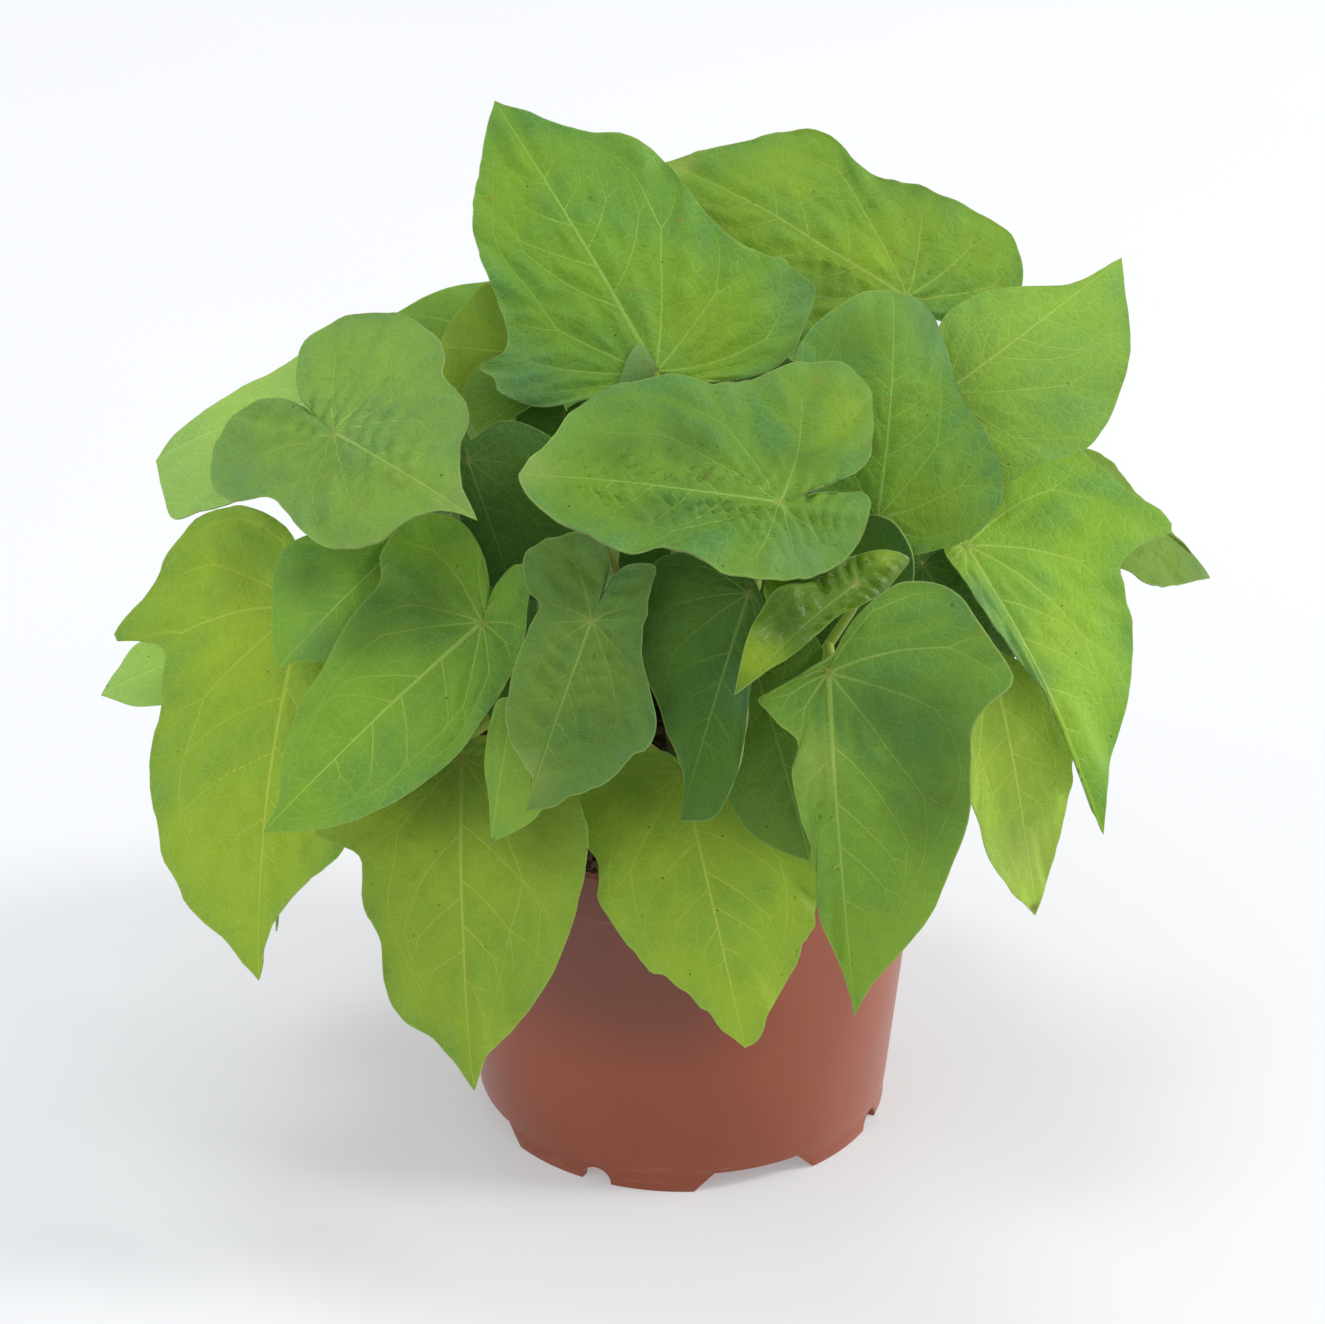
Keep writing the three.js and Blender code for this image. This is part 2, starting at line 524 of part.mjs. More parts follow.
function makePot() {
  let pot = potBody();
  for (let i = 0; i < ARCH.count; i += 1) {
    pot = pot.subtract(footCutter(archShape(), ARCH.start + (i * 360) / ARCH.count));
  }
  for (let i = 0; i < BRIDGE.count; i += 1) {
    pot = pot.subtract(footCutter(bridgeShape(), BRIDGE.start + (i * 360) / BRIDGE.count));
  }
  for (let i = 0; i < POT.drainCount; i += 1) {
    pot = pot.subtract(drainHole(i));
  }
  return toMesh("pot", pot, "pot", 0.42);
}

function makeSoil() {
  const bottom = FLOOR_TOP + GAP;
  let soil = turned([
    [0, bottom],
    [innerRadius(bottom) - 2 * GAP, bottom],
    [innerRadius(SOIL.edge) - 2 * GAP, SOIL.edge],
    [SOIL.shoulderRadius, SOIL.shoulder],
    [0, SOIL.middle],
  ]);
  for (const points of Object.values(STEMS)) {
    const radius = STEM.radius + STEM.socketClearance;
    soil = soil.subtract(bar(socketCurve(points), radius, STEM.sides, STEM.steps));
  }
  return toMesh("soil", soil, "soil", 0.95);
}

// ---------------------------------------------------------------- stems

const vector = (point) => new THREE.Vector3(...point);

function stemCurve(points) {
  return new THREE.CatmullRomCurve3(points.map(vector), false, "catmullrom", 0.5);
}

// The hole that a stem leaves in the soil starts a little below the stem.
function socketCurve(points) {
  const [foot, ...rest] = points;
  return stemCurve([[foot[0], foot[1], foot[2] - STEM.socketClearance], ...rest]);
}

function makeStem(name, points) {
  return toMesh(name, bar(stemCurve(points), STEM.radius, STEM.sides, STEM.steps), "stem", 0.6);
}

// ---------------------------------------------------------------- leaves

// The leaf's own axes: midrib from base to tip, up out of the upper side, and left.
function leafFrame(leaf) {
  const base = vector(leaf.base);
  const midrib = vector(leaf.tip).sub(base);
  const length = midrib.length();
  midrib.normalize();
  const face = vector(leaf.face);
  const up = face.addScaledVector(midrib, -face.dot(midrib)).normalize();
  const left = new THREE.Vector3().crossVectors(up, midrib);
  return { base, midrib, up, left, length };
}

// Height of the bent blade over the flat plane of its frame.
function bladeRise(leaf, length, along, across) {
  const share = THREE.MathUtils.clamp(along / length, -0.6, 1.2);
  const bend = share < 0 ? share / (1 - 2 * share) : share * (1 - share);
  const slope = leaf.fold[across > 0 ? 0 : 1];
  const out = Math.hypot(across, BLADE.midribRounding) - BLADE.midribRounding;
  return 4 * leaf.arch * length * bend + slope * out;
}

function bladePoint(leaf, frame, along, across) {
  return frame.base.clone()
    .addScaledVector(frame.midrib, along)
    .addScaledVector(frame.left, across)
    .addScaledVector(frame.up, bladeRise(leaf, frame.length, along, across));
}

function bladeNormal(leaf, frame, along, across) {
  const step = 0.5;
  const near = (forward, sideways) => bladePoint(leaf, frame, along + forward, across + sideways);
  const ahead = near(step, 0).sub(near(-step, 0));
  const aside = near(0, step).sub(near(0, -step));
  return ahead.cross(aside).normalize();
}

// Evenly spaced points on a smooth curve through a half outline.
function smoothHalf(points) {
  const curve = new THREE.CatmullRomCurve3(points.map(([x, y]) => new THREE.Vector3(x, y, 0)), false);
  const count = Math.max(4, Math.round(curve.getLength() / BLADE.pointSpacing));
  return curve.getSpacedPoints(count).slice(0, -1);
}

// The whole edge, anticlockwise from the tip, as points (along, across).
function leafEdge(leaf, length) {
  const tip = [length, 0];
  const notch = leaf.left.at(-1);
  const right = leaf.right.map(([along, out]) => [along, -out]).reverse();
  return [...smoothHalf([tip, ...leaf.left]), ...smoothHalf([notch, ...right, tip])];
}

function makeBlade(leaf, frame) {
  const edge = leafEdge(leaf, frame.length);
  const spots = [[0, 0]];
  for (const ring of BLADE.rings) {
    for (const { x, y } of edge) spots.push([ring * x, ring * y]);
  }
  const skin = (offset) => spots.map(([along, across]) => bladePoint(leaf, frame, along, across)
    .addScaledVector(bladeNormal(leaf, frame, along, across), offset));
  const half = BLADE.thickness / 2;
  const positions = [...skin(half), ...skin(-half)].flatMap((point) => point.toArray());

  const index = [];
  const lower = spots.length;
  const addTriangle = (a, b, c) => index.push(a, b, c, lower + c, lower + b, lower + a);
  const rim = 1 + (BLADE.rings.length - 1) * edge.length;
  for (let i = 0; i < edge.length; i += 1) {
    const next = (i + 1) % edge.length;
    addTriangle(0, 1 + i, 1 + next);
    for (let start = 1; start < rim; start += edge.length) {
      const inner = [start + i, start + next];
      const outer = inner.map((corner) => corner + edge.length);
      addTriangle(inner[0], outer[0], outer[1]);
      addTriangle(inner[0], outer[1], inner[1]);
    }
    index.push(rim + i, lower + rim + i, lower + rim + next);
    index.push(rim + i, lower + rim + next, rim + next);
  }
  const geometry = new THREE.BufferGeometry();
  geometry.setAttribute("position", new THREE.Float32BufferAttribute(positions, 3));
  geometry.setIndex(index);
  return toSolid(geometry);
}

// The stalk leaves its stem slanting upwards and meets the blade from below.
function makeStalk(leaf, frame) {
  const stem = stemCurve(STEMS[leaf.stem]);
  const root = stem.getPoint(leaf.at);
  const upward = stem.getTangent(leaf.at);
  const outward = frame.base.clone().sub(root);
  outward.addScaledVector(upward, -outward.dot(upward)).normalize();
  const clear = STEM.radius + GAP + STALK.radius * STALK.lean;
  const start = root.addScaledVector(outward, clear);
  const leave = outward.clone().add(upward).normalize();
  const arrive = frame.midrib.clone().multiplyScalar(-0.5).addScaledVector(frame.up, -0.85).normalize();
  const reach = STALK.reach * start.distanceTo(frame.base);
  const bow = vector(leaf.bow ?? [0, 0, 0]);
  const first = start.clone().addScaledVector(leave, reach).add(bow);
  const second = frame.base.clone().addScaledVector(arrive, reach).add(bow);
  const curve = new THREE.CubicBezierCurve3(start, first, second, frame.base.clone());
  return bar(curve, STALK.radius, STALK.sides, STALK.steps);
}

function makeLeaf(name, leaf) {
  const frame = leafFrame(leaf);
  const solid = makeBlade(leaf, frame).add(makeStalk(leaf, frame));
  return toMesh(name, solid, leaf.colour, 0.55);
}

// Fills in both half outlines from one shape, scaled to the leaf's length.
function withOutline(leaf, half, width) {
  const length = vector(leaf.tip).distanceTo(vector(leaf.base));
  const scaled = half.map(([along, out]) => [along * length, out * length * width]);
  return { ...leaf, left: scaled, right: scaled.slice(0, -1) };
}

function innerLeaf(leaf) {
  return withOutline({ arch: 0.06, fold: [-0.08, -0.08], colour: "dark", ...leaf }, HEART, leaf.width);
}

function outerLeaf(leaf) {
  const place = ([degrees, radius, z]) => {
    const angle = THREE.MathUtils.degToRad(degrees);
    return [radius * Math.sin(angle), -radius * Math.cos(angle), z];
  };
  const angle = THREE.MathUtils.degToRad((leaf.base[0] + leaf.tip[0]) / 2);
  const rise = THREE.MathUtils.degToRad(leaf.rise);
  const face = [Math.sin(angle) * Math.cos(rise), -Math.cos(angle) * Math.cos(rise), Math.sin(rise)];
  const bent = { arch: 0.1, fold: [-0.1, -0.1], ...leaf };
  const placed = { ...bent, base: place(leaf.base), tip: place(leaf.tip), face };
  return withOutline(placed, leaf.half, leaf.width);
}

// ---------------------------------------------------------------- the plant

const plant = new THREE.Group();

const container = new THREE.Group();
container.add(makePot(), makeSoil());
plant.add(container);

const vine = new THREE.Group();
for (const [name, points] of Object.entries(STEMS)) vine.add(makeStem(name, points));
for (const [name, leaf] of Object.entries(FRONT_LEAVES)) vine.add(makeLeaf(name, leaf));
for (const [name, leaf] of Object.entries(INNER_LEAVES)) vine.add(makeLeaf(name, innerLeaf(leaf)));
for (const [name, leaf] of Object.entries(OUTER_LEAVES)) vine.add(makeLeaf(name, outerLeaf(leaf)));
plant.add(vine);

export default plant;
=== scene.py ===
"""A sweet potato vine in a round nursery pot: leaves with their veins, stems, soil and pot.

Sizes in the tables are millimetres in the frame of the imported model: +Z up, the
origin at the centre of the pot's foot, the plant's showiest side towards -Y.
"""
import bisect
import math
from itertools import combinations

import bpy
import numpy as np
from mathutils import Matrix, Vector
from mathutils.kdtree import KDTree


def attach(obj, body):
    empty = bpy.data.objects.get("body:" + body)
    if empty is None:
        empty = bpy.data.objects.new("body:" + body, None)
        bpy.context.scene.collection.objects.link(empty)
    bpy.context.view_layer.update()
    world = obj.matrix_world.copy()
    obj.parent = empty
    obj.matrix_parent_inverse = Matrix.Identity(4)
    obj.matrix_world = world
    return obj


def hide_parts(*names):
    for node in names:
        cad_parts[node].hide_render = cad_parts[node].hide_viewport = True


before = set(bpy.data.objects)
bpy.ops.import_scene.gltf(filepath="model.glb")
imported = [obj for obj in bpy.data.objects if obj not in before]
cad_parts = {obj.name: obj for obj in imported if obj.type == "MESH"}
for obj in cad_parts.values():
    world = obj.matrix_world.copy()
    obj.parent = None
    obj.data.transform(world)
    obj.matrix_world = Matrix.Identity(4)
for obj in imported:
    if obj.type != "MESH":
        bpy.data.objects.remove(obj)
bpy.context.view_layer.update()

MM = 0.001

# ---------------------------------------------------------------- sizes

POT = {
    "height": 112, "foot_radius": 64, "foot_thickness": 3.2, "foot_height": 6.5, "floor": 2,
    "shoulder_radius": 73.2, "wall": 1.9, "collar_radius": 75, "collar_height": 15,
    "collar_wall": 2.4, "ledge": 0.5, "drain_radius": 5, "drain_ring": 38, "drain_count": 6, "lip_round": 0.8,
}
ARCH = {"count": 4, "start": -24, "half_width": 4.8, "height": 5}
BRIDGE = {"count": 4, "start": 21, "half_width": 19.5, "half_top": 13.5}
SOIL = {"edge": 100.5, "shoulder": 102.5, "middle": 103, "shoulder_radius": 40, "columns": 200, "rows": 62,
        "crumbs": 700}
STEM = {"radius": 2.2, "gap": 0.3, "foot_radius": 2.75, "taper": 0.75, "knot": 0.5, "zigzag": 0.35,
        "rings": 70, "sides": 14}
BUD = [(1.5, 2.3), (3.2, 2.5), (5.0, 1.9), (6.6, 1.0), (7.6, 0.3)]     # distance past the stem's end, radius
STALK = {"radius": 1.3, "lean": 0.7, "reach": 0.35, "foot_radii": (2.1, 1.6),
         "end_radii": (1.25 * 0.95, 0.9 * 0.95), "rings": 17, "sides": 9}
# Points round the edge and rings of a blade.
GRID = {"toothed": (200, 32), "shown": (140, 32), "hidden": (96, 20), "small": (100, 20),
        "small_hidden": (72, 14)}
SMALL, TINY, USUAL = 45, 30, 85     # lengths of blades
# What sets the random values of one kind apart from those of another.
SEED = {"veins": 1000, "jag": (90, 120), "ripple": (40, 70), "wave": 300, "pleats": 500, "soil": 77}

# Points along each stem, from its foot in the soil to its end.
STEMS = {
    "front": ((2, -22, 84), (2, -22, 100), (3, -30, 135), (2, -44, 168)),
    "front_left": ((-24, -14, 84), (-24, -14, 100), (-34, -22, 140), (-56, -40, 176)),
    "front_right": ((26, -14, 84), (26, -14, 100), (34, -22, 135), (48, -44, 166)),
    "centre": ((-2, 4, 84), (-2, 4, 100), (-4, 2, 150), (0, -4, 205)),
    "right": ((26, 14, 84), (26, 14, 100), (36, 14, 140), (56, 8, 182)),
    "left": ((-28, 16, 84), (-28, 16, 100), (-42, 18, 140), (-66, 14, 184)),
    "back": ((2, 34, 84), (2, 34, 100), (2, 42, 140), (0, 58, 186)),
}

# Half outlines, from the tip to the notch, in shares of the length: along, out and so on.
HEART = (0.86, 0.09, 0.7, 0.2, 0.5, 0.33, 0.3, 0.43, 0.1, 0.47, -0.08, 0.43, -0.19, 0.32, -0.21, 0.18, -0.13,
         0.06, -0.03, 0)
SHOULDERED = (0.85, 0.08, 0.64, 0.19, 0.45, 0.28, 0.28, 0.38, 0.17, 0.53, 0.04, 0.47, -0.1, 0.42, -0.2, 0.3,
              -0.2, 0.15, -0.11, 0.05, -0.03, 0)

# The leaves that the photograph shows: stem, place along it, joint and tip of the blade, the way its upper side
# faces, arch, slopes of its left and right half, colour, and then the left and the right edge from the tip to
# the notch, as along, out and so on. A last entry bows the stalk.
COLUMNS = ("stem", "at", "base", "tip", "face", "arch", "fold", "colour", "left", "right", "bow")
FRONT_LEAVES = {
    "crown_left": ("centre", 0.96, (-8, -22, 247), (-55, 34, 309), (-0.01, -0.75, 0.66), 0.06, (-0.1, -0.12),
        "mid",
        (88, 7, 78, 15, 66, 23, 54, 27, 39, 29, 29, 32, 26, 35, 25, 43, 20, 41, 17, 42, 8, 34, 2, 20, -1, 4),
        (87, 6, 79, 12, 65, 28, 54, 34, 37, 35, 22, 39, 13, 48, 2, 52, -12, 37, -14, 29, -8, 10)),
    "crown_right": ("centre", 0.88, (65, 25, 253), (-6, 60, 284), (0.01, -0.69, 0.73), 0.05, (-0.05, -0.12),
        "bright",
        (80, 7, 68, 12, 56, 17, 40, 25, 27, 32, 17, 36, 9, 32, 4, 24, 0, 13, -3, 3),
        (77, 8, 67, 20, 57, 32, 47, 34, 36, 30, 28, 31, 16, 36, -1, 38, -13, 38, -23, 29, -25, 23, -20, 6, -12,
         0)),
    "right_upper": ("right", 0.96, (75, -8, 236), (125, 8, 271), (0.04, -0.93, 0.36), 0.05, (-0.08, -0.08),
        "bright",
        (47, 3, 35, 11, 26, 16, 14, 18, 5, 13, -2, 3),
        (57, 10, 51, 20, 40, 30, 29, 36, 21, 37, 9, 33, -2, 31, -7, 19, -6, 9)),
    "centre_right": ("right", 0.8, (54, -42, 211), (59, -4, 265), (0.11, -0.82, 0.57), 0.16, (-0.16, -0.2),
        "mid",
        (65, 7, 62, 12, 54, 21, 43, 27, 27, 27, 14, 25, 3, 18, -6, 8, -2, 0),
        (63, 9, 50, 15, 36, 20, 27, 28, 16, 34, 9, 35, -1, 29, -6, 19, -8, 9)),
    "centre": ("centre", 0.78, (25, -90, 235), (-43, -98, 246), (0.19, -0.43, 0.88), 0.03, (-0.05, -0.06),
        "mid",
        (69, 3, 66, 9, 62, 13, 52, 19, 45, 23, 38, 23, 30, 20, 22, 23, 13, 26, 1, 25, -12, 20, -20, 12, -25, -4,
         -23, -9, -17, -8, -10, -5, -5, -3),
        (66, 6, 62, 11, 54, 26, 42, 36, 25, 41, 17, 40, 2, 48, -10, 55, -22, 56, -28, 49, -29, 37, -28, 29, -25,
         18, -11, 7)),
    "left_round": ("left", 0.97, (-95, -58, 242), (-54, -102, 235), (-0.4, -0.5, 0.77), 0.06, (-0.1, -0.1),
        "bright",
        (49, 7, 42, 14, 37, 22, 31, 26, 18, 29, 10, 36, -5, 40, -21, 39, -33, 31, -37, 20, -30, 10, -21, 4, -7,
         1),
        (53, 2, 44, 9, 40, 19, 32, 25, 21, 28, 2, 25, -6, 24, -16, 29, -28, 30, -37, 22, -40, 13, -37, 5, -25,
         -2)),
    "far_left": ("left", 0.9, (-103, 15, 225), (-156, 10, 207), (-0.21, -0.57, 0.8), 0.08, (-0.08, -0.08),
        "bright",
        (56, 10, 55, 21, 46, 23, 27, 26, 12, 24, -1, 18, -6, 8, -3, 0),
        (50, 4, 38, 8, 23, 13, 12, 17, 4, 21, -6, 17, -6, 5), (0, -20, 0)),
    "left_hanging": ("left", 0.78, (-105, -62, 192), (-120, -92, 90), (-0.45, -0.84, 0.31), 0.07, (-0.12, -0.1),
        "yellow",
        (99, 2, 86, 7, 74, 16, 64, 25, 49, 28, 32, 28, 16, 25, 0, 20, -9, 10, -9, 2, -5, 0),
        (99, 10, 92, 21, 83, 31, 72, 37, 58, 41, 46, 42, 31, 40, 21, 44, 20, 54, 21, 62, 9, 56, -3, 52, -18, 43,
         -23, 32, -23, 23, -19, 13, -12, 5)),
    "left_mid": ("front_left", 0.8, (-78, -72, 214), (-110, -88, 185), (-0.1, -0.82, 0.56), 0.06, (-0.1, -0.1),
        "mid",
        (40, 3, 35, 8, 28, 11, 16, 12, 6, 10, -2, 6, -2, 0),
        (41, 7, 33, 15, 25, 21, 19, 22, 9, 17, -1, 11, -4, 4), (-8, 0, 0)),
    "left_centre": ("front_left", 0.92, (-54, -92, 201), (-112, -118, 151), (-0.1, -0.83, 0.55), 0.07, (-0.1,
        -0.1), "bright",
        (71, 9, 57, 17, 44, 21, 31, 22, 18, 20, -2, 13, -13, 4, -19, -2, -18, -6, -11, -6, -3, -2),
        (72, 3, 64, 10, 52, 17, 40, 20, 25, 25, 12, 28, 6, 34, -6, 35, -12, 31, -15, 23, -10, 9)),
    "centre_small": ("front", 0.86, (-24, -113, 211), (-41, -134, 166), (-0.05, -0.9, 0.43), 0.06, (-0.12,
        -0.14), "mid",
        (47, 8, 40, 16, 30, 22, 23, 25, 18, 24, 10, 19, 1, 14, -10, 12, -19, 11, -19, 8, -16, 3, -6, 0),
        (44, 1, 39, 5, 36, 9, 29, 13, 18, 15, 8, 15, 0, 15, -2, 18, -9, 22, -16, 19, -20, 12, -20, 4, -16, 1)),
    "centre_dark": ("front", 0.95, (17, -106, 216), (-1, -124, 158), (-0.16, -0.93, 0.34), 0.06, (-0.12, -0.2),
        "dark",
        (60, 8, 54, 10, 45, 11, 34, 10, 24, 8, 13, 7, 3, 5, -4, 0),
        (56, 1, 50, 3, 41, 10, 34, 15, 28, 21, 22, 23, 10, 26, 0, 27, -4, 22, -8, 13, -8, 6)),
    "front_right": ("front_right", 0.97, (38, -112, 196), (46, -136, 106), (-0.11, -0.96, 0.25), 0.08, (-0.05,
        -0.2), "bright",
        (85, 5, 74, 15, 64, 23, 51, 29, 40, 34, 25, 36, 15, 37, 10, 41, 4, 48, -3, 45, -11, 40, -19, 35, -22,
         27, -22, 20, -14, 8, -5, 2),
        (86, 1, 74, 4, 63, 7, 49, 7, 35, 10, 25, 11, 17, 9, 12, 14, 8, 17, 6, 19, 2, 11)),
    "front_left_drop": ("front_left", 0.62, (-60, -95, 162), (-57, -125, 75), (-0.15, -0.94, 0.32), 0.08, (-0.1,
        -0.1), "yellow",
        (83, 4, 72, 14, 62, 22, 51, 28, 38, 32, 28, 34, 21, 35, 12, 32, 2, 25, -4, 16, -6, 5, -4, 0),
        (79, 8, 72, 18, 62, 23, 49, 24, 38, 28, 27, 29, 24, 33, 20, 42, 11, 36, 3, 28, -3, 18, -6, 8)),
    "front_centre_drop": ("front", 0.66, (0, -92, 156), (17, -128, 91), (-0.02, -0.88, 0.48), 0.08, (-0.08,
        -0.08), "yellow",
        (75, 4, 65, 11, 56, 20, 42, 28, 28, 31, 14, 29, 2, 24, -4, 14, -5, 4, -3, 0),
        (71, 4, 63, 9, 54, 16, 47, 22, 37, 27, 28, 30, 20, 28, 9, 33, 2, 34, -4, 28, -8, 21, -9, 12, -7, 4)),
    "right_hanging": ("right", 0.88, (81, -22, 194), (120, -66, 124), (0.27, -0.74, 0.62), 0.07, (-0.1, 0.3),
        "bright",
        (81, 5, 74, 10, 67, 17, 55, 27, 42, 35, 30, 38, 23, 41, 20, 49, 19, 63, 6, 59, -7, 54, -16, 49, -19, 38,
         -17, 23, -11, 11, -5, 1),
        (83, 1, 72, 1, 60, 1, 47, 2, 33, 5, 21, 7, 10, 7, -1, 7)),
    "far_right": ("right", 0.72, (113, 32, 191), (168, 68, 145), (0.73, -0.43, 0.53), 0.1, (-0.08, -0.08),
        "bright",
        (50, 1, 33, 9, 21, 16, 12, 17, 2, 13, -6, 4, -4, 0),
        (53, 15, 34, 23, 25, 22, 11, 20, 1, 15, -3, 4)),
    "right_low": ("front_right", 0.6, (88, -40, 166), (102, -58, 93), (0.3, -0.91, 0.28), 0.07, (-0.1, -0.1),
        "yellow",
        (67, 5, 53, 11, 45, 15, 36, 17, 21, 17, 12, 14, 4, 10, -2, 2),
        (65, 8, 53, 13, 42, 14, 31, 16, 14, 15, 4, 10, -1, 3), (-16, -16, 0)),
    "left_low_small": ("left", 0.68, (-139, -28, 162), (-168, -40, 154), (0.06, -0.62, 0.78), 0.08, (-0.08,
        -0.08), "bright",
        (26, 7, 17, 11, 6, 12, -1, 5, -2, 0),
        (25, 5, 17, 10, 8, 8, 0, 5), (0, -16, 16)),
    "small_left": ("front", 0.58, (-45, -110, 185), (-51, -121, 150), (-0.11, -0.94, 0.31), 0.06, (-0.1, -0.1),
        "bright",
        (29, 10, 20, 14, 10, 13, 1, 9, -3, 3, -2, -1),
        (26, 2, 15, 5, 5, 5, -1, 4)),
    "behind_dark": ("front", 0.78, (18, -97, 194), (34, -114, 141), (0.11, -0.94, 0.33), 0.06, (-0.1, -0.1),
        "mid",
        (49, 3, 38, 6, 26, 9, 16, 13, 9, 17, 3, 19, -4, 14, -5, 4, -2, -1),
        (51, 9, 45, 14, 32, 17, 22, 16, 9, 13, -1, 7)),
    "young_curled": ("front_right", 0.88, (45, -104, 218), (13, -130, 198), (0.08, -0.67, 0.74), 0.1, (-0.3,
        -0.3), "yellow",
        (36, 2, 27, 4, 20, 4, 9, 4, 3, 5, -4, 6, -13, 5, -17, 4, -16, 1),
        (37, 6, 31, 9, 25, 11, 20, 12, 14, 11, 3, 8, -5, 7, -12, 3)),
    "inner_left": ("front_left", 0.97, (-59, -60, 235), (-46, -72, 199), (0.21, -0.9, 0.38), 0.05, (-0.1, -0.1),
        "dark",
        (43, 7, 36, 19, 24, 26, 10, 28, -1, 22, -7, 13, -5, 3),
        (34, 6, 23, 8, 12, 7, 1, 4, -7, 2, -10, -2)),
    "inner_top": ("centre", 0.7, (-40, -12, 239), (-59, -23, 229), (0.07, -0.78, 0.62), 0.05, (-0.1, -0.1),
        "bright",
        (21, 3, 14, 3, 6, 3, 0, 4, -4, 2, -2, 0),
        (23, 7, 20, 12, 9, 16, -1, 13, -4, 6)),
    "left_bright": ("centre", 0.62, (-48, -2, 245), (-70, -8, 249), (0.31, -0.75, 0.58), 0.05, (-0.1, -0.1),
        "yellow",
        (23, 7, 19, 14, 13, 16, 6, 14, -1, 7, -3, 0),
        (21, 6, 15, 14, 8, 21, 1, 17, -3, 8)),
    "left_back": ("left", 0.84, (-54, 22, 242), (-85, 28, 247), (0.01, -0.6, 0.8), 0.05, (-0.1, -0.1), "bright",
        (21, 8, 8, 13, -3, 11, -7, 3, -3, -1),
        (26, 6, 21, 11, 10, 18, 2, 19, -4, 11)),
    "right_inner": ("front_right", 0.72, (69, -22, 188), (93, -18, 143), (0.37, -0.92, 0.12), 0.06, (-0.1,
        -0.1), "dark",
        (40, 12, 25, 17, 9, 15, -1, 8, -3, 1),
        (35, 11, 17, 14, 4, 13, -6, 9, -8, 2)),
    "young_bud": ("front_right", 0.8, (32, -104, 218), (22, -108, 214), (0.1, -0.8, 0.6), 0.1, (-0.4, -0.4),
        "yellow",
        (11, 2, 4, 2, 0, 2, -2, 0),
        (11, 3, 8, 6, 4, 5, -1, 3)),
}

# Leaves inside the plant: stem, place along it, joint, tip, face, width and the stalk's bow.
INNER_LEAVES = {
    "inner_right": ("right", 0.5, (44, -42, 202), (48, -32, 150), (-0.3, -0.6, 0.7), 0.86),
    "inner_centre": ("back", 0.5, (2, 6, 177), (5, 6, 124), (-0.3, -0.85, 0.4), 0.95),
    "inner_low_left": ("left", 0.4, (-58, -32, 181), (-54, -32, 140), (0.3, -0.6, 0.7), 0.9),
    "inner_up_left": ("front_left", 0.7, (-34, -12, 230), (-39, -17, 204), (0, -1, 0.15), 1.1, (-8, 0, 0)),
}

# Leaves of the sides and the back, whose joint and tip are a direction in degrees, a distance and a height:
# stem, place along it, joint, tip, how far the face looks up, outline, width, colour and the stalk's bow.
OUTER_LEAVES = {
    "right_side": ("right", 0.56, (84, 76, 150), (88, 112, 80), 30, HEART, 0.9, "yellow"),
    "right_mid_back": ("right", 0.62, (93, 86, 168), (97, 132, 124), 42, HEART, 0.7, "bright", (-6, 4, 10)),
    "right_top_back": ("right", 0.98, (118, 84, 226), (114, 134, 196), 62, HEART, 0.76, "mid", (0, -8, 8)),
    "right_low_back": ("right", 0.5, (118, 84, 150), (116, 116, 80), 25, HEART, 0.95, "yellow"),
    "back_low_1": ("back", 0.56, (144, 97, 165), (143, 135, 90), 25, SHOULDERED, 0.95, "yellow"),
    "back_low_2": ("back", 0.66, (170, 82, 152), (172, 112, 76), 22, HEART, 0.95, "bright"),
    "back_low_3": ("back", 0.5, (193, 97, 172), (195, 141, 94), 25, SHOULDERED, 1, "yellow", (-8, 0, 0)),
    "back_low_4": ("left", 0.5, (218, 84, 156), (217, 118, 78), 22, HEART, 0.88, "bright"),
    "left_low_back": ("left", 0.56, (258, 92, 146), (254, 134, 78), 25, SHOULDERED, 0.76, "yellow"),
    "left_side": ("left", 0.45, (289, 94, 141), (287, 128, 75), 28, HEART, 0.72, "bright"),
    "back_mid_1": ("right", 0.62, (133, 72, 190), (129, 124, 142), 48, HEART, 0.93, "bright"),
    "back_mid_2": ("back", 0.8, (150, 64, 214), (152, 126, 168), 50, HEART, 0.95, "mid"),
    "back_mid_3": ("back", 0.88, (184, 62, 208), (183, 124, 158), 50, SHOULDERED, 0.95, "bright", (0, -8, 8)),
    "back_mid_4": ("back", 0.72, (207, 64, 198), (209, 130, 150), 50, HEART, 0.95, "mid"),
    "left_mid_back": ("left", 0.62, (238, 78, 184), (243, 136, 138), 50, HEART, 0.9, "bright"),
    "left_top_back": ("left", 0.93, (240, 60, 214), (245, 120, 186), 60, HEART, 0.9, "mid"),
    "back_top_3": ("back", 0.98, (176, 30, 252), (175, 96, 238), 78, HEART, 0.85, "bright", (0, -16, 0)),
    "back_top_1": ("back", 0.95, (152, 38, 230), (148, 106, 208), 70, HEART, 0.9, "mid", (0, -8, 0)),
    "back_top_2": ("centre", 0.5, (200, 40, 224), (198, 108, 202), 68, SHOULDERED, 0.95, "mid"),
}

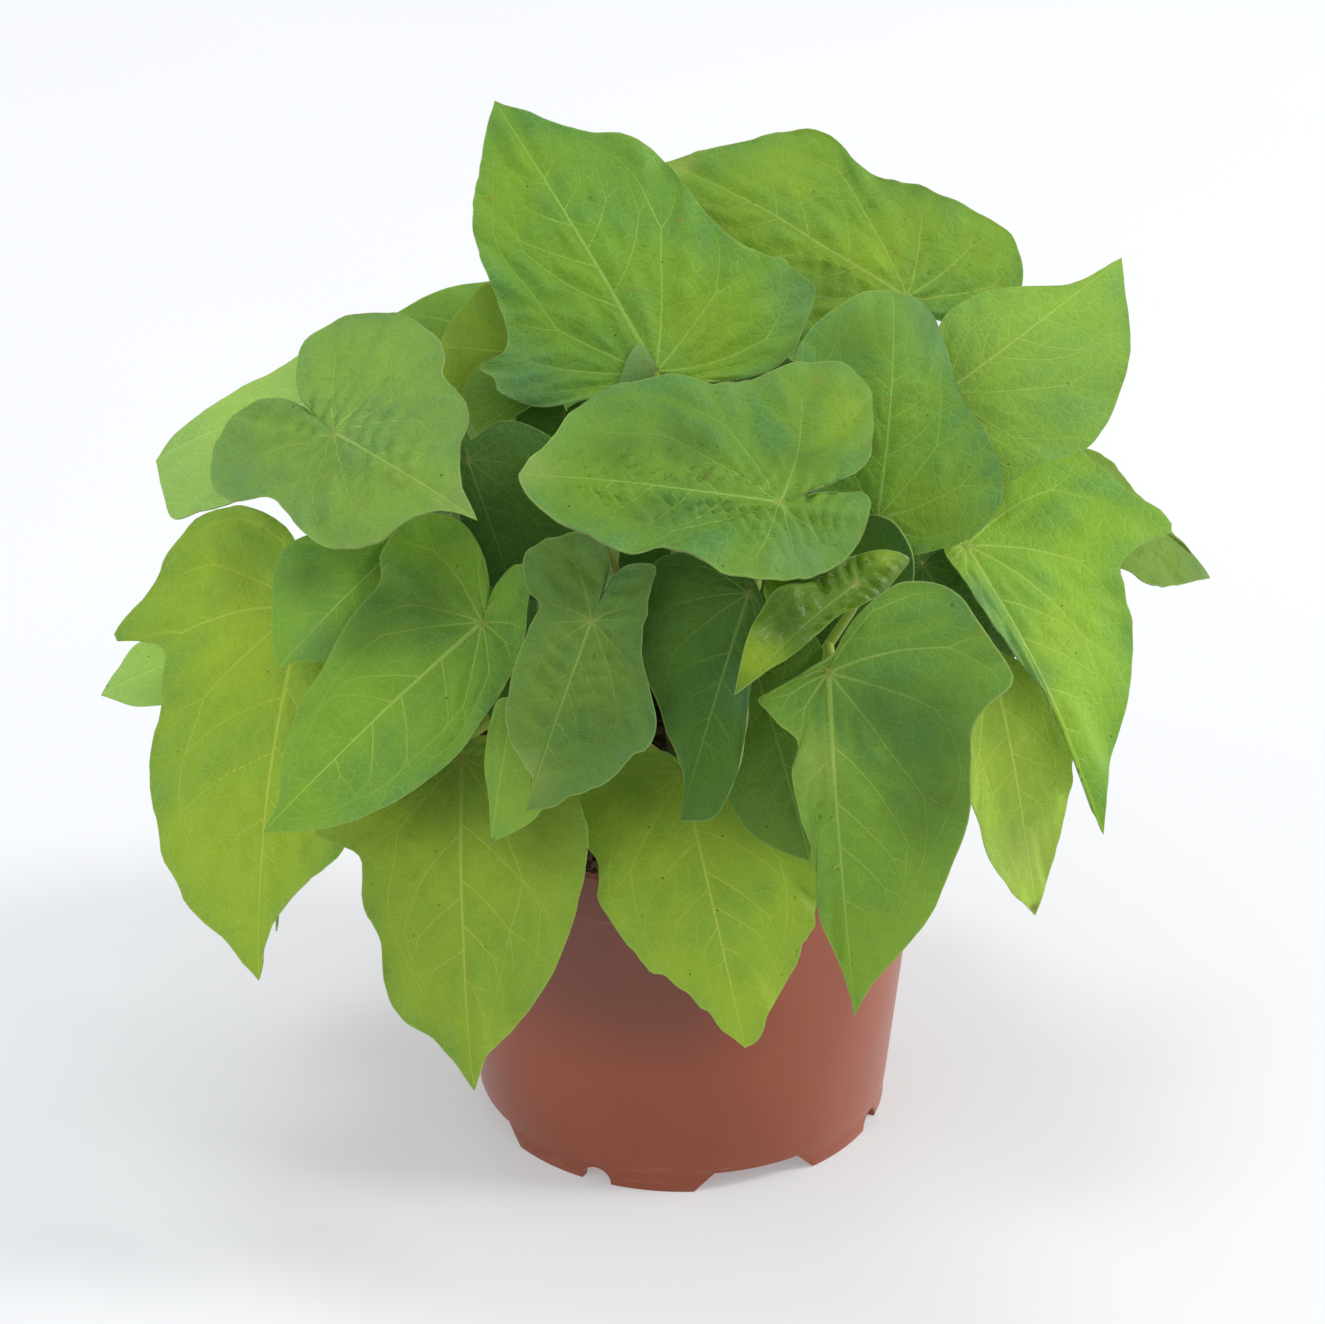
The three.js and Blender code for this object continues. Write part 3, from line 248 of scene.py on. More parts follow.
# Leaf colours: warmer and cooler parts of the upper side, veins, and light passing through, as display values.
TONES = {
    "yellow": ((164, 194, 54), (136, 178, 62), (200, 216, 92), (178, 206, 30)),
    "bright": ((146, 188, 50), (114, 166, 68), (184, 212, 100), (156, 196, 34)),
    "soft": ((132, 174, 50), (102, 152, 70), (172, 204, 96), (146, 190, 34)),
    "mid": ((123, 165, 44), (94, 145, 66), (158, 198, 92), (134, 184, 34)),
    "dark": ((87, 131, 38), (64, 108, 44), (122, 164, 70), (108, 158, 30)),
    "young": ((118, 164, 8), (80, 136, 16), (150, 188, 50), (150, 190, 16)),
}
# Colours of patches. On the first line, the first is painted light and the last a painted bluish sheen, and the
# middle one is the leaves' own pale yellowing; on the second line, the first is a painted soft sheen and the
# second the brown of dry tips.
PAINTED_LIGHT_GREEN, PALE, PAINTED_BLUISH_SHEEN = (176, 206, 46), (196, 210, 110), (104, 150, 112)
PAINTED_SOFT_SHEEN, DRY = (140, 184, 96), (124, 84, 56)

# Finish and relief of a leaf. `lift` brightens or darkens all of it, partly for its own tone and partly as
# painted light and shade, `bloom` is its bluish cast away from the veins, `wash` pales it, `red` colours its
# margin, and
# `patches` are spots: along, across, radius, depth and colour. A patch without a colour is painted shadow; the
# others are painted light and painted sheen, and the leaf's own pale and dry spots, by their colour. `pucker`
# bulges it between the veins, `jag` and `ripple` make the margin uneven and wavy, `lobes` widen the joint's
# end,
# `cup` and `valley` bend it, `pleats` are crosswise: height, spacing, and how far out. `dents` in the blade and
# `teeth` of the margin are bumps: along, across, width and amount. `flaps` are turned corners: both ends of the
# crease, the corner and its rise.
PLAIN_LOOK = {
    "lift": 1.0, "bloom": 0.3, "wash": 0.0, "red": 0.0, "specks": 0.2, "gloss": 0.0, "patches": (),
    "pucker": 1.0, "jag": 0.2, "ripple": 1.0, "lobes": 0.0, "cup": 0.0, "valley": 0.0,
    "pleats": (0.0, 5.0, 1.2), "dents": (), "teeth": (), "flaps": (),
}

# How single leaves differ from it.
LOOKS = {
    "young_curled": {
        "tone": "young", "pucker": 1.2, "ripple": 3.4, "specks": 0.1, "bloom": 0, "gloss": 0.3, "lift": 0.66,
        "pleats": (0.7, 4.5, 0.6), "cup": 0.02,
        "dents": [(-10, 0, 5, 2.6), (7, -6, 3.2, -1.8), (16, -9, 4.5, 2.6), (26, -4, 5, -1.8), (24, 3, 4, 1.2)],
        "patches": [(6, -5, 5, 0.3), (24, -4, 6, 0.25), (36, -2, 9, 0.6, PAINTED_LIGHT_GREEN), (-12, 0, 6, 0.3, PAINTED_LIGHT_GREEN)]},
    "young_bud": {"tone": "young", "gloss": 0.3, "bloom": 0},
    "crown_left": {
        "pucker": 1.5, "jag": 0.5, "bloom": 0.4, "lift": 1.18,
        "flaps": [((-1.2, -0.5), (1.0, 12.0), (9.4, 0.6), 1.3)],
        "teeth": [(14, -50, 2.2, 2.4), (9.5, -48, 2.0, -1.5), (1.5, -54, 3.0, 1.8)],
        "patches": [(14, 36, 16, 0.5, PAINTED_BLUISH_SHEEN), (1, -47, 13, 0.35, PAINTED_BLUISH_SHEEN), (6, -14, 20, 0.3, PAINTED_LIGHT_GREEN),
                    (70, 8, 16, 0.2, PAINTED_LIGHT_GREEN)]},
    "crown_right": {
        "pucker": 1.8, "pleats": (0.5, 6.0, 0.55), "lift": 0.94,
        "patches": [(80, -2, 5, 0.5, PALE), (20, 11, 12, 0.3), (14, -36, 14, 0.25), (14, -7, 12, 0.35, PAINTED_LIGHT_GREEN),
                    (49, -16, 14, 0.25, PAINTED_LIGHT_GREEN)]},
    "front_left_drop": {
        "specks": 0.5, "jag": 0.5, "lift": 0.96, "patches": [(6, -4, 18, 0.6), (16, 24, 15, 0.5)]},
    "front_centre_drop": {
        "specks": 0.7, "ripple": 1.4, "jag": 0.6, "lift": 1.10,
        "teeth": [(49.7, -20, 2.2, 1.2), (58, -16.5, 2.2, 1.2), (63, -10, 2.0, 1.1), (69, -5.6, 2.0, 0.9),
                  (54.5, -18.5, 1.8, -1.1), (60.5, -13.2, 1.8, -1.1), (66, -8.6, 1.6, -0.9),
                  (45, -24.6, 1.8, -0.8), (47.5, 25.5, 2.0, 1.0), (53.4, 21.5, 1.8, -0.9),
                  (70, 6.7, 1.6, -0.8)],
        "patches": [(-2, -14, 19, 0.7), (10, 12, 17, 0.6)]},
    "left_round": {
        "tone": "soft", "red": 0.6, "bloom": 0.25, "wash": 0.08, "lift": 1.12, "pleats": (0.7, 7.0, 0.8),
        "pucker": 2.3, "patches": [(54, 3, 8, 0.3, PALE), (-24, -22, 12, 0.3, PAINTED_BLUISH_SHEEN)]},
    "left_hanging": {
        "pucker": 1.5, "jag": 0.5, "lift": 1.17, "patches": [(-8, -24, 12, 0.3), (29, -14, 16, 0.3, PAINTED_LIGHT_GREEN)]},
    "left_centre": {
        "pucker": 1.5, "tone": "soft", "lift": 1.17,
        "patches": [(8, -14, 12, 0.6), (26, -20, 10, 0.5), (16, -24, 8, 0.4)]},
    "left_mid": {
        "tone": "soft", "lift": 1.30,
        "patches": [(22, -12, 9, 0.55), (10, -6, 9, 0.5), (34, 4, 8, 0.35, PAINTED_BLUISH_SHEEN)]},
    "left_low_small": {"lift": 1.62, "wash": 0.28},
    "far_left": {"lift": 1.48, "wash": 0.27},
    "centre": {
        "red": 0.8, "pucker": 2.4, "bloom": 0.5, "pleats": (0.8, 4.5, 1.0), "lift": 0.98,
        "patches": [(43, -10, 9, 0.35), (24, -16, 10, 0.4), (-5, -20, 10, 0.3), (34, 9, 9, 0.3),
                    (-20, -38, 18, 0.25, PAINTED_LIGHT_GREEN), (-5, 16, 10, 0.35, PAINTED_BLUISH_SHEEN), (66, -2, 8, 0.3, PALE)]},
    "centre_right": {
        "red": 1.0, "pucker": 1.8, "bloom": 0.7, "lift": 1.13,
        "patches": [(20, 14, 12, 0.4), (6, -20, 14, 0.3, PAINTED_LIGHT_GREEN), (55, -14, 14, 0.45, PAINTED_BLUISH_SHEEN), (48, 10, 12, 0.4)]},
    "right_upper": {"red": 0.6, "lift": 1.29, "wash": 0.1},
    "centre_small": {
        "pucker": 2.2, "ripple": 2.0, "jag": 0.8, "lift": 0.78, "bloom": 0.5, "wash": 0.03,
        "pleats": (0.5, 6.0, 1.2), "patches": [(4, 14, 10, 0.3), (24, 14, 12, 0.3), (44, -2, 8, 0.3, PALE)]},
    "front_right": {
        "pucker": 1.5, "tone": "soft", "lift": 1.03, "valley": 0.16,
        "patches": [(14, 26, 19, 0.65), (36, 26, 15, 0.5), (8, 10, 10, 0.45), (22, -5, 9, 0.3, PALE),
                    (78, 12, 20, 0.45, PAINTED_LIGHT_GREEN), (64, 26, 14, 0.35, PAINTED_LIGHT_GREEN), (46, -14, 18, 0.3, PAINTED_SOFT_SHEEN)]},
    "right_hanging": {
        "red": 0.3, "lift": 1.14,
        "patches": [(34, 8, 12, 0.3, PAINTED_LIGHT_GREEN), (16, -7, 8, 0.6, PAINTED_BLUISH_SHEEN), (30, -7, 8, 0.6, PAINTED_BLUISH_SHEEN),
                    (44, -6, 8, 0.6, PAINTED_BLUISH_SHEEN)]},
    "right_low": {
        "lift": 1.37, "jag": 0.6, "lobes": 0.2, "wash": 0.08,
        "patches": [(4, 4, 12, 0.4), (58, 0, 12, 0.5, PALE), (74, 0, 2, 0.7, DRY)]},
    "far_right": {"bloom": 0.0, "lift": 0.69},
    "inner_left": {"lift": 0.76},
    "inner_top": {"patches": [(4, 0, 14, 0.4)]},
    "small_left": {"lift": 1.06, "wash": 0.05, "patches": [(2, 0, 10, 0.35), (37, 0, 1.6, 0.9, DRY)]},
    "behind_dark": {"lift": 0.80},
    "centre_dark": {"lift": 0.89, "patches": [(24, 8, 8, 0.3, PAINTED_BLUISH_SHEEN)]},
}

# ---------------------------------------------------------------- small helpers


def unit(v):
    v = np.asarray(v, float)
    return v / np.linalg.norm(v)


def srgb(red, green, blue):
    """Linear colour with alpha from display values out of 255."""
    def linear(c):
        c /= 255
        return c / 12.92 if c <= 0.04045 else ((c + 0.055) / 1.055) ** 2.4
    return (linear(red), linear(green), linear(blue), 1)


def shade(colour, factor):
    return (*(c * factor for c in colour[:3]), 1)


def smooth(t):
    t = np.clip(t, 0, 1)
    return t * t * (3 - 2 * t)


def bell(distance, width):
    return np.exp(-(distance / width) ** 2)


def pairs(row):
    return np.reshape(row, (-1, 2)).tolist()


def lattice_noise(x, y, cell, seed):
    """Smooth noise from -1 to 1 over a plane, with lumps about `cell` across."""
    table = np.random.default_rng(seed).uniform(-1, 1, (64, 64))
    u, v = np.asarray(x) / cell, np.asarray(y) / cell
    i, j = np.floor(u).astype(int), np.floor(v).astype(int)
    fu, fv = smooth(u - i), smooth(v - j)

    def across(row):
        return table[i % 64, row % 64] * (1 - fu) + table[(i + 1) % 64, row % 64] * fu
    return across(j) * (1 - fv) + across(j + 1) * fv


def catmull(points, centripetal=True):
    """A function of t from 0 to 1 along a smooth curve through the points."""
    p = np.asarray(points, float)
    p = np.vstack([2 * p[0] - p[1], p, 2 * p[-1] - p[-2]])
    spans = len(p) - 3

    def at(t):
        s = min(max(t, 0), 1) * spans
        i = min(int(s), spans - 1)
        w = s - i
        a, b, c, d = p[i:i + 4]
        if centripetal:
            ab, bc, cd = (max(np.linalg.norm(q), 1e-6) ** 0.5 for q in (b - a, c - b, d - c))
            m1 = ((b - a) / ab - (c - a) / (ab + bc) + (c - b) / bc) * bc
            m2 = ((c - b) / bc - (d - b) / (bc + cd) + (d - c) / cd) * bc
        else:
            m1, m2 = (c - a) / 2, (d - b) / 2
        return ((2 * w**3 - 3 * w**2 + 1) * b + (w**3 - 2 * w**2 + w) * m1
                + (3 * w**2 - 2 * w**3) * c + (w**3 - w**2) * m2)
    return at


def run_along(points):
    """Distance from the first point to each, along the line through them."""
    return np.concatenate([[0], np.cumsum(np.linalg.norm(np.diff(points, axis=0), axis=1))])


def evenly(curve, count):
    """`count` + 1 points spaced evenly along a curve."""
    fine = np.array([curve(t) for t in np.linspace(0, 1, 400)])
    run = run_along(fine)
    wanted = np.linspace(0, run[-1], count + 1)
    return np.stack([np.interp(wanted, run, fine[:, k]) for k in range(fine.shape[1])], 1)


class Body:
    """Collects points, faces and marks of the points, in mm, and turns them into a piece."""

    def __init__(self):
        self.points, self.faces, self.marks, self.count = [], [], {}, 0

    def add(self, points, faces, **marks):
        points = np.asarray(points, float)
        for name in {**self.marks, **marks}:
            rows = self.marks.setdefault(name, [np.zeros((self.count, 3))])
            rows.append(np.broadcast_to(np.asarray(marks.get(name, (0, 0, 0)), float), points.shape))
        self.points.append(points)
        self.faces += [[corner + self.count for corner in face] for face in faces]
        self.count += len(points)

    def finish(self, name, material, slot, *nodes):
        mesh = bpy.data.meshes.new(name)
        mesh.from_pydata((np.vstack(self.points) * MM).tolist(), [], self.faces)
        for mark, rows in self.marks.items():
            layer = mesh.attributes.new(mark, "FLOAT_VECTOR", "POINT")
            layer.data.foreach_set("vector", np.vstack(rows).astype(np.float32).ravel())
        mesh.polygons.foreach_set("use_smooth", [True] * len(mesh.polygons))
        mesh.set_sharp_from_angle(angle=math.radians(50))
        mesh.materials.append(material)
        mesh.update()
        piece = link(name, mesh)
        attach(piece, "root")
        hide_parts(*nodes)
        return piece


def link(name, data):
    thing = bpy.data.objects.new(name, data)
    bpy.context.scene.collection.objects.link(thing)
    return thing


def grid_faces(rows, columns, closed=True, first=0):
    """Quads of a grid of rows x columns points; `closed` joins the last column to the first."""
    faces = []
    for r in range(rows - 1):
        for c in range(columns if closed else columns - 1):
            a, b = first + r * columns + c, first + r * columns + (c + 1) % columns
            faces.append([a, b, b + columns, a + columns])
    return faces


def capped(rings, start, end):
    """Points and faces of a closed form: rings of points, and one point before and one after them."""
    rows, columns = np.shape(rings)[:2]
    points = np.vstack([*rings, [start], [end]])
    faces = grid_faces(rows, columns)
    last = (rows - 1) * columns
    for c in range(columns):
        n = (c + 1) % columns
        faces += [[n, c, len(points) - 2], [last + c, last + n, len(points) - 1]]
    return points, faces


def tube(path, radii, sides):
    """A closed round tube along a path, and its share of the way for each point."""
    path = np.asarray(path, float)
    ahead = np.gradient(path, axis=0)
    ahead /= np.linalg.norm(ahead, axis=1)[:, None]
    side = unit(np.cross(ahead[0], [0.31, 0.17, 0.93]))
    turn = np.arange(sides) * 2 * math.pi / sides
    rings = []
    for p, d, r in zip(path, ahead, radii):
        side = unit(side - d * (side @ d))
        rings.append(p + r * (np.cos(turn)[:, None] * side + np.sin(turn)[:, None] * np.cross(d, side)))
    points, faces = capped(rings, path[0] - ahead[0] * radii[0] * 0.3, path[-1] + ahead[-1] * radii[-1] * 0.6)
    share = np.concatenate([np.repeat(np.linspace(0, 1, len(path)), sides), [0, 1]])
    return points, faces, share


# ---------------------------------------------------------------- materials


class Graph:
    """Short names for the shader nodes of one material."""

    def __init__(self, name):
        self.material = bpy.data.materials.new(name)
        self.material.use_nodes = True
        self.tree = self.material.node_tree
        self.tree.nodes.clear()

    def put(self, sockets, values):
        for socket, value in zip(sockets, values):
            if isinstance(value, bpy.types.NodeSocket):
                self.tree.links.new(value, socket)
            else:
                socket.default_value = value

    def add(self, kind, settings=(), **inputs):
        node = self.tree.nodes.new("ShaderNode" + kind)
        for name, value in dict(settings).items():
            setattr(node, name, value)
        self.put([node.inputs[name.replace("_", " ")] for name in inputs], inputs.values())
        return node

    def math(self, operation, *values):
        node = self.add("Math", {"operation": operation})
        self.put(node.inputs, values)
        return node.outputs[0]

    def times(self, a, b):
        return self.math("MULTIPLY", a, b)

    def plus(self, a, b):
        return self.math("ADD", a, b)

    def hypot(self, a, b):
        return self.math("SQRT", self.plus(self.times(a, a), self.times(b, b)))

    def ramp(self, value, low, high, to_low=0.0, to_high=1.0):
        node = self.add("MapRange", {"interpolation_type": "SMOOTHSTEP"})
        self.put(node.inputs, (value, low, high, to_low, to_high))
        return node.outputs[0]

    def mix(self, share, a, b, blend="MIX"):
        node = self.add("Mix", {"data_type": "RGBA", "blend_type": blend})
        self.put([node.inputs[index] for index in (0, 6, 7)], (share, a, b))
        return node.outputs[2]

    def tint(self, base, mask, share, colour):
        """`colour` over `base` where the mask is, at most in the share given."""
        return self.mix(self.times(mask, share), base, colour)

    def noise(self, vector, scale, seed=0.0, detail=2.0):
        node = self.add("TexNoise", {"noise_dimensions": "4D"},
                        Vector=vector, Scale=scale, W=seed, Detail=detail)
        return node.outputs["Fac"]

    def cells(self, vector, scale, feature="F1", dimensions="2D"):
        """Distance and three random values of a cell pattern."""
        node = self.add("TexVoronoi", {"feature": feature, "voronoi_dimensions": dimensions},
                        Vector=vector, Scale=scale)
        picks = self.add("SeparateColor", Color=node.outputs["Color"]).outputs if feature == "F1" else None
        return node.outputs["Distance"], picks

    def dots(self, distance, pick, share, near, far):
        """Small spots in a random share of the cells."""
        chosen = self.ramp(pick, 1 - share, 1 - share + 0.02)
        return self.times(self.ramp(distance, near, far, 1.0, 0.0), chosen)

    def stretched(self, vector, *scale):
        return self.add("Mapping", Vector=vector, Scale=scale).outputs[0]

    def bump(self, height, distance, strength=1.0, **normal):
        return self.add("Bump", Height=height, Distance=distance, Strength=strength, **normal).outputs[0]

    def skin(self, base, rough, normal, **constants):
        node = self.add("BsdfPrincipled", Base_Color=base, Roughness=rough, Normal=normal, **constants)
        return node.outputs[0]

    def place(self):
        return self.add("TexCoord").outputs["Object"]

    def mark(self, name):
        """A mark of the points, as a vector and as its three parts."""
        vector = self.add("Attribute", {"attribute_name": name}).outputs["Vector"]
        return vector, self.add("SeparateXYZ", Vector=vector).outputs

    def end(self, shader):
        output = self.add("OutputMaterial")
        self.tree.links.new(shader, output.inputs["Surface"])
        return self.material


def leaf_material(name, seed, look):
    g = Graph(name)
    warm, cool, vein, shining = (shade(srgb(*values), look["lift"]) for values in TONES[look["tone"]])
    place, (along, across, side) = g.mark("leaf")
    halo, margin, rib = g.mark("mark")[1]
    stalk = g.mark("stalk")[1][0]
    shifted = g.add("Mapping", Vector=place, Location=(7.3 * seed, 3.1 * seed, 0)).outputs[0]

    # broad patches of two greens, a bluish cast away from the veins, and a fine net of veinlets
    broad = g.ramp(g.noise(shifted, 0.034, seed, 2.0), 0.34, 0.66)
    mottle = g.ramp(g.noise(shifted, 0.13, seed + 5, 3.0), 0.42, 0.66)
    wobble = g.add("TexNoise", Vector=shifted, Scale=0.35, Detail=2.0).outputs["Color"]
    bent = g.mix(0.9, shifted, wobble, "LINEAR_LIGHT")
    net, fine = (g.cells(bent, scale, "DISTANCE_TO_EDGE")[0] for scale in (0.30, 1.0))
    base = g.mix(broad, warm, cool)
    for mask, share, colour in (
            (mottle, 0.16, shade(cool, 0.6)),
            (g.ramp(margin, 0.0, 15.0, 0.55, 0.0), look["bloom"], srgb(108, 160, 104)),
            (g.ramp(net, 0.0, 0.07, 1.0, 0.0), 0.3, vein),
            (g.ramp(fine, 0.0, 0.12, 1.0, 0.0), 0.12, vein),
            (halo, 0.5, warm), (rib, 0.8, vein)):
        base = g.tint(base, mask, share, colour)

    # underside, paler and greyer
    base = g.mix(side, g.tint(srgb(132, 168, 104), rib, 0.7, srgb(176, 196, 140)), base)

    base = g.mix(look["wash"], base, srgb(200, 212, 170))
    # patches: painted shadow in a darker green where no colour is given, painted light and painted sheen in
    # their own colours, and the leaf's own pale and dry spots
    for spot_along, spot_across, radius, depth, *own in look["patches"]:
        away = g.hypot(g.math("SUBTRACT", along, spot_along), g.math("SUBTRACT", across, spot_across))
        away = g.plus(away, g.times(g.noise(shifted, 0.1, seed + 2), 0.5 * radius))
        colour = srgb(*own[0]) if own else shade(cool, 0.42)
        base = g.mix(g.ramp(away, 0.2 * radius, 1.7 * radius, depth, 0.0), base, colour)

    # thin margin, in places reddish
    reddish = g.ramp(g.noise(shifted, 0.05, seed + 9), 0.45, 0.6)
    edge = g.tint(srgb(186, 204, 110), reddish, look["red"], srgb(128, 84, 62))
    base = g.mix(g.ramp(margin, 0.12, 0.6, 0.35, 0.0), base, edge)

    # dark specks and small tan spots
    distance, picks = g.cells(shifted, 0.075)
    ragged = g.plus(distance, g.times(g.noise(shifted, 1.1, seed + 3), 0.05))
    base = g.tint(base, g.dots(ragged, picks[0], look["specks"], 0.036, 0.05), 0.8, srgb(58, 58, 30))
    distance, picks = g.cells(shifted, 0.045)
    base = g.tint(base, g.dots(distance, picks[1], 0.2, 0.02, 0.05), 0.45, srgb(170, 140, 84))

    # the stalk: pale green, purplish at the stem
    stalk_colour = g.mix(g.ramp(stalk, 0.05, 0.5), srgb(112, 92, 62), srgb(176, 200, 84))
    base = g.mix(g.ramp(stalk, 0.0, 0.02), base, stalk_colour)
    base = g.tint(base, g.ramp(g.hypot(along, across), 0.5, 1.9, 1.0, 0.0), 0.4, srgb(156, 140, 74))

    gloss = look["gloss"]
    grain = g.noise(shifted, 1.6, seed, 4.0)
    height = g.plus(g.times(grain, 0.3), g.times(g.ramp(fine, 0.0, 0.3), 0.3))
    height = g.plus(height, g.times(g.ramp(net, 0.0, 0.25), 0.7))
    normal = g.bump(height, 0.0002, 0.6)
    rough = g.ramp(grain, 0.3, 0.7, 0.48 - 0.24 * gloss, 0.62 - 0.28 * gloss)
    skin = g.skin(base, rough, normal, Specular_IOR_Level=0.22 + 0.4 * gloss, Coat_Weight=0.5 * gloss,
                  Coat_Roughness=0.18, Sheen_Weight=0.05, Sheen_Roughness=0.5, Sheen_Tint=srgb(205, 225, 235))
    through = g.add("BsdfTranslucent", Color=g.mix(0.6, base, shining), Normal=normal)
    mixed = g.add("MixShader")
    g.put(mixed.inputs, (0.3, skin, through.outputs[0]))
    return g.end(mixed.outputs[0])


def stem_material():
    g = Graph("stem_skin")
    stalk, place = g.mark("stalk")[1][0], g.place()
    blotch = g.noise(place, 160.0, 1.0, 3.0)
    lines = g.noise(g.stretched(place, 1, 1, 0.12), 900.0, 2.0, 2.0)
    green = g.mix(blotch, srgb(120, 140, 62), srgb(146, 158, 80))
    brown = g.mix(blotch, srgb(78, 58, 44), srgb(108, 84, 56))
    base = g.mix(g.ramp(g.plus(stalk, g.times(blotch, 0.3)), 0.35, 0.95), brown, green)
    base = g.mix(g.ramp(lines, 0.45, 0.7, 0.0, 0.35), base, srgb(170, 168, 110))
    return g.end(g.skin(base, g.ramp(blotch, 0.3, 0.7, 0.42, 0.6), g.bump(lines, 0.0002, 0.5)))


def soil_material():
    g = Graph("potting_soil")
    place = g.place()
    lumps = g.noise(place, 260.0, 3.0, 6.0)
    distance, picks = g.cells(place, 520.0, "F1", "3D")
    base = g.mix(g.ramp(lumps, 0.35, 0.65), srgb(34, 26, 21), srgb(72, 54, 41))
    base = g.mix(g.ramp(picks[0], 0.86, 0.9, 0.0, 0.7), base, srgb(112, 86, 60))
    base = g.mix(g.ramp(picks[0], 0.05, 0.0, 0.0, 0.5), base, srgb(150, 142, 130))
    normal = g.bump(g.plus(lumps, g.times(distance, 0.5)), 0.0008, 0.9)
    return g.end(g.skin(base, g.ramp(lumps, 0.3, 0.7, 0.8, 0.98), normal, Specular_IOR_Level=0.25))


def pot_material():
    g = Graph("pot_plastic")
    place = g.place()
    sideways, _, height = g.add("SeparateXYZ", Vector=place).outputs
    cloud = g.noise(place, 14.0, 1.0, 4.0)
    grain = g.noise(place, 1400.0, 2.0, 2.0)
    flow = g.noise(g.stretched(place, 1, 1, 0.08), 120.0, 3.0, 3.0)
    base = g.mix(g.ramp(cloud, 0.3, 0.7), srgb(136, 62, 34), srgb(147, 69, 39))
    base = g.mix(g.ramp(flow, 0.45, 0.75, 0.0, 0.12), base, srgb(158, 86, 60))
    # painted shadow of the leaves over the upper front left of the pot, a darker and duller brown
    painted_leaf_shadow = g.times(g.ramp(height, 0.035, 0.075), g.ramp(sideways, 0.0, 0.032, 1.0, 0.0))
    base = g.tint(base, painted_leaf_shadow, 0.5, srgb(78, 46, 38))
    # dust and scuffs near the foot, and a few dark specks
    scuff = g.ramp(g.noise(g.stretched(place, 1, 1, 5), 90.0, 7.0, 6.0), 0.56, 0.72)
    dust = g.times(g.ramp(height, 0.004, 0.02, 1.0, 0.0), scuff)
    base = g.tint(base, dust, 0.15, srgb(190, 160, 145))
    distance, picks = g.cells(place, 75.0, "F1", "3D")
    base = g.tint(base, g.dots(distance, picks[0], 0.14, 0.02, 0.045), 0.85, srgb(52, 34, 28))
    rough = g.ramp(g.plus(cloud, g.times(grain, 0.2)), 0.35, 0.85, 0.36, 0.5)
    rough = g.plus(rough, g.times(dust, 0.15))
    normal = g.bump(g.noise(place, 30.0, 4.0, 2.0), 0.0006, 0.25, Normal=g.bump(grain, 0.00005, 0.35))
    return g.end(g.skin(base, rough, normal, Specular_IOR_Level=0.5, Sheen_Weight=0.3, Sheen_Roughness=0.4,
                        Sheen_Tint=srgb(250, 215, 210)))


def floor_material():
    """The floor gives off a little light of its own, which keeps the shadows weak."""
    g = Graph("pale_floor")
    place = g.place()
    soft = g.noise(place, 3.0, 1.0, 2.0)
    base = g.mix(soft, srgb(198, 199, 201), srgb(201, 202, 204))
    normal = g.bump(g.noise(place, 600.0, 2.0, 2.0), 0.0001, 0.15)
    return g.end(g.skin(base, g.ramp(soft, 0.3, 0.7, 0.6, 0.7), normal, Specular_IOR_Level=0.2,
                        Emission_Color=srgb(252, 253, 255), Emission_Strength=0.3))

# ---------------------------------------------------------------- leaves


def leaf_axes(leaf):
    base, tip = np.array(leaf["base"], float), np.array(leaf["tip"], float)
    length = np.linalg.norm(tip - base)
    midrib = (tip - base) / length
    face = np.array(leaf["face"], float)
    up = unit(face - midrib * (face @ midrib))
    return base, midrib, np.cross(up, midrib), up, length


def blade_rise(leaf, length, along, across):
    """Height of the plain bent blade over its plane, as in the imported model."""
    share = np.clip(along / length, -0.6, 1.2)
    bend = np.where(share < 0, share / (1 - 2 * np.minimum(share, 0)), share * (1 - share))
    slope = np.where(across > 0, *leaf["fold"])
    return 4 * leaf["arch"] * length * bend + slope * (np.hypot(across, 4) - 4)


def leaf_edge(leaf, length, count):
    """Points round the edge, anticlockwise from the tip."""
    tip, notch = [length, 0], leaf["left"][-1]
    right = [[along, -out] for along, out in leaf["right"]][::-1]
    half = count // 2
    first = evenly(catmull([tip, *leaf["left"]]), half)[:-1]
    second = evenly(catmull([notch, *right, tip]), half)[:-1]
    return np.vstack([first, second])


def uneven(arc, cells, amounts, index, seeds):
    """Noise along the edge that fades at the tip, from lumps of two sizes."""
    noise = sum(amount * lattice_noise(arc, 0.5, cell, index + seed)
                for cell, amount, seed in zip(cells, amounts, seeds))
    return noise * np.minimum(1, np.minimum(arc, arc[-1] - arc) / 8)


class Outline:
    """Where a point of the leaf's plane lies between the stalk and the edge."""

    def __init__(self, edge):
        edge = np.vstack([edge, edge[:1]])
        turn = np.unwrap(np.arctan2(edge[:, 1], edge[:, 0]))
        self.turns = np.maximum.accumulate(turn).tolist()
        self.corners = edge.tolist()

    def locate(self, x, y):
        """(edge span, place along the span, share of the way out to the edge)."""
        angle = math.atan2(y, x)
        while angle < self.turns[0]:
            angle += 2 * math.pi
        while angle > self.turns[-1]:
            angle -= 2 * math.pi
        k = min(max(bisect.bisect_right(self.turns, angle) - 1, 0), len(self.turns) - 2)
        (ax, ay), (bx, by) = self.corners[k], self.corners[k + 1]
        area = ax * by - ay * bx
        if abs(area) < 1e-9:
            return k, 0.0, math.hypot(x, y) / max(math.hypot(ax, ay), 1e-6)
        a, b = (x * by - y * bx) / area, (ax * y - ay * x) / area
        out = a + b
        return k, (min(max(b / out, 0), 1) if out > 1e-9 else 0.0), out

    def out(self, x, y):
        return self.locate(x, y)[2]

    def reach(self, angle):
        """Distance from the stalk to the edge in one direction."""
        return 1 / max(self.out(math.cos(angle), math.sin(angle)), 1e-6)


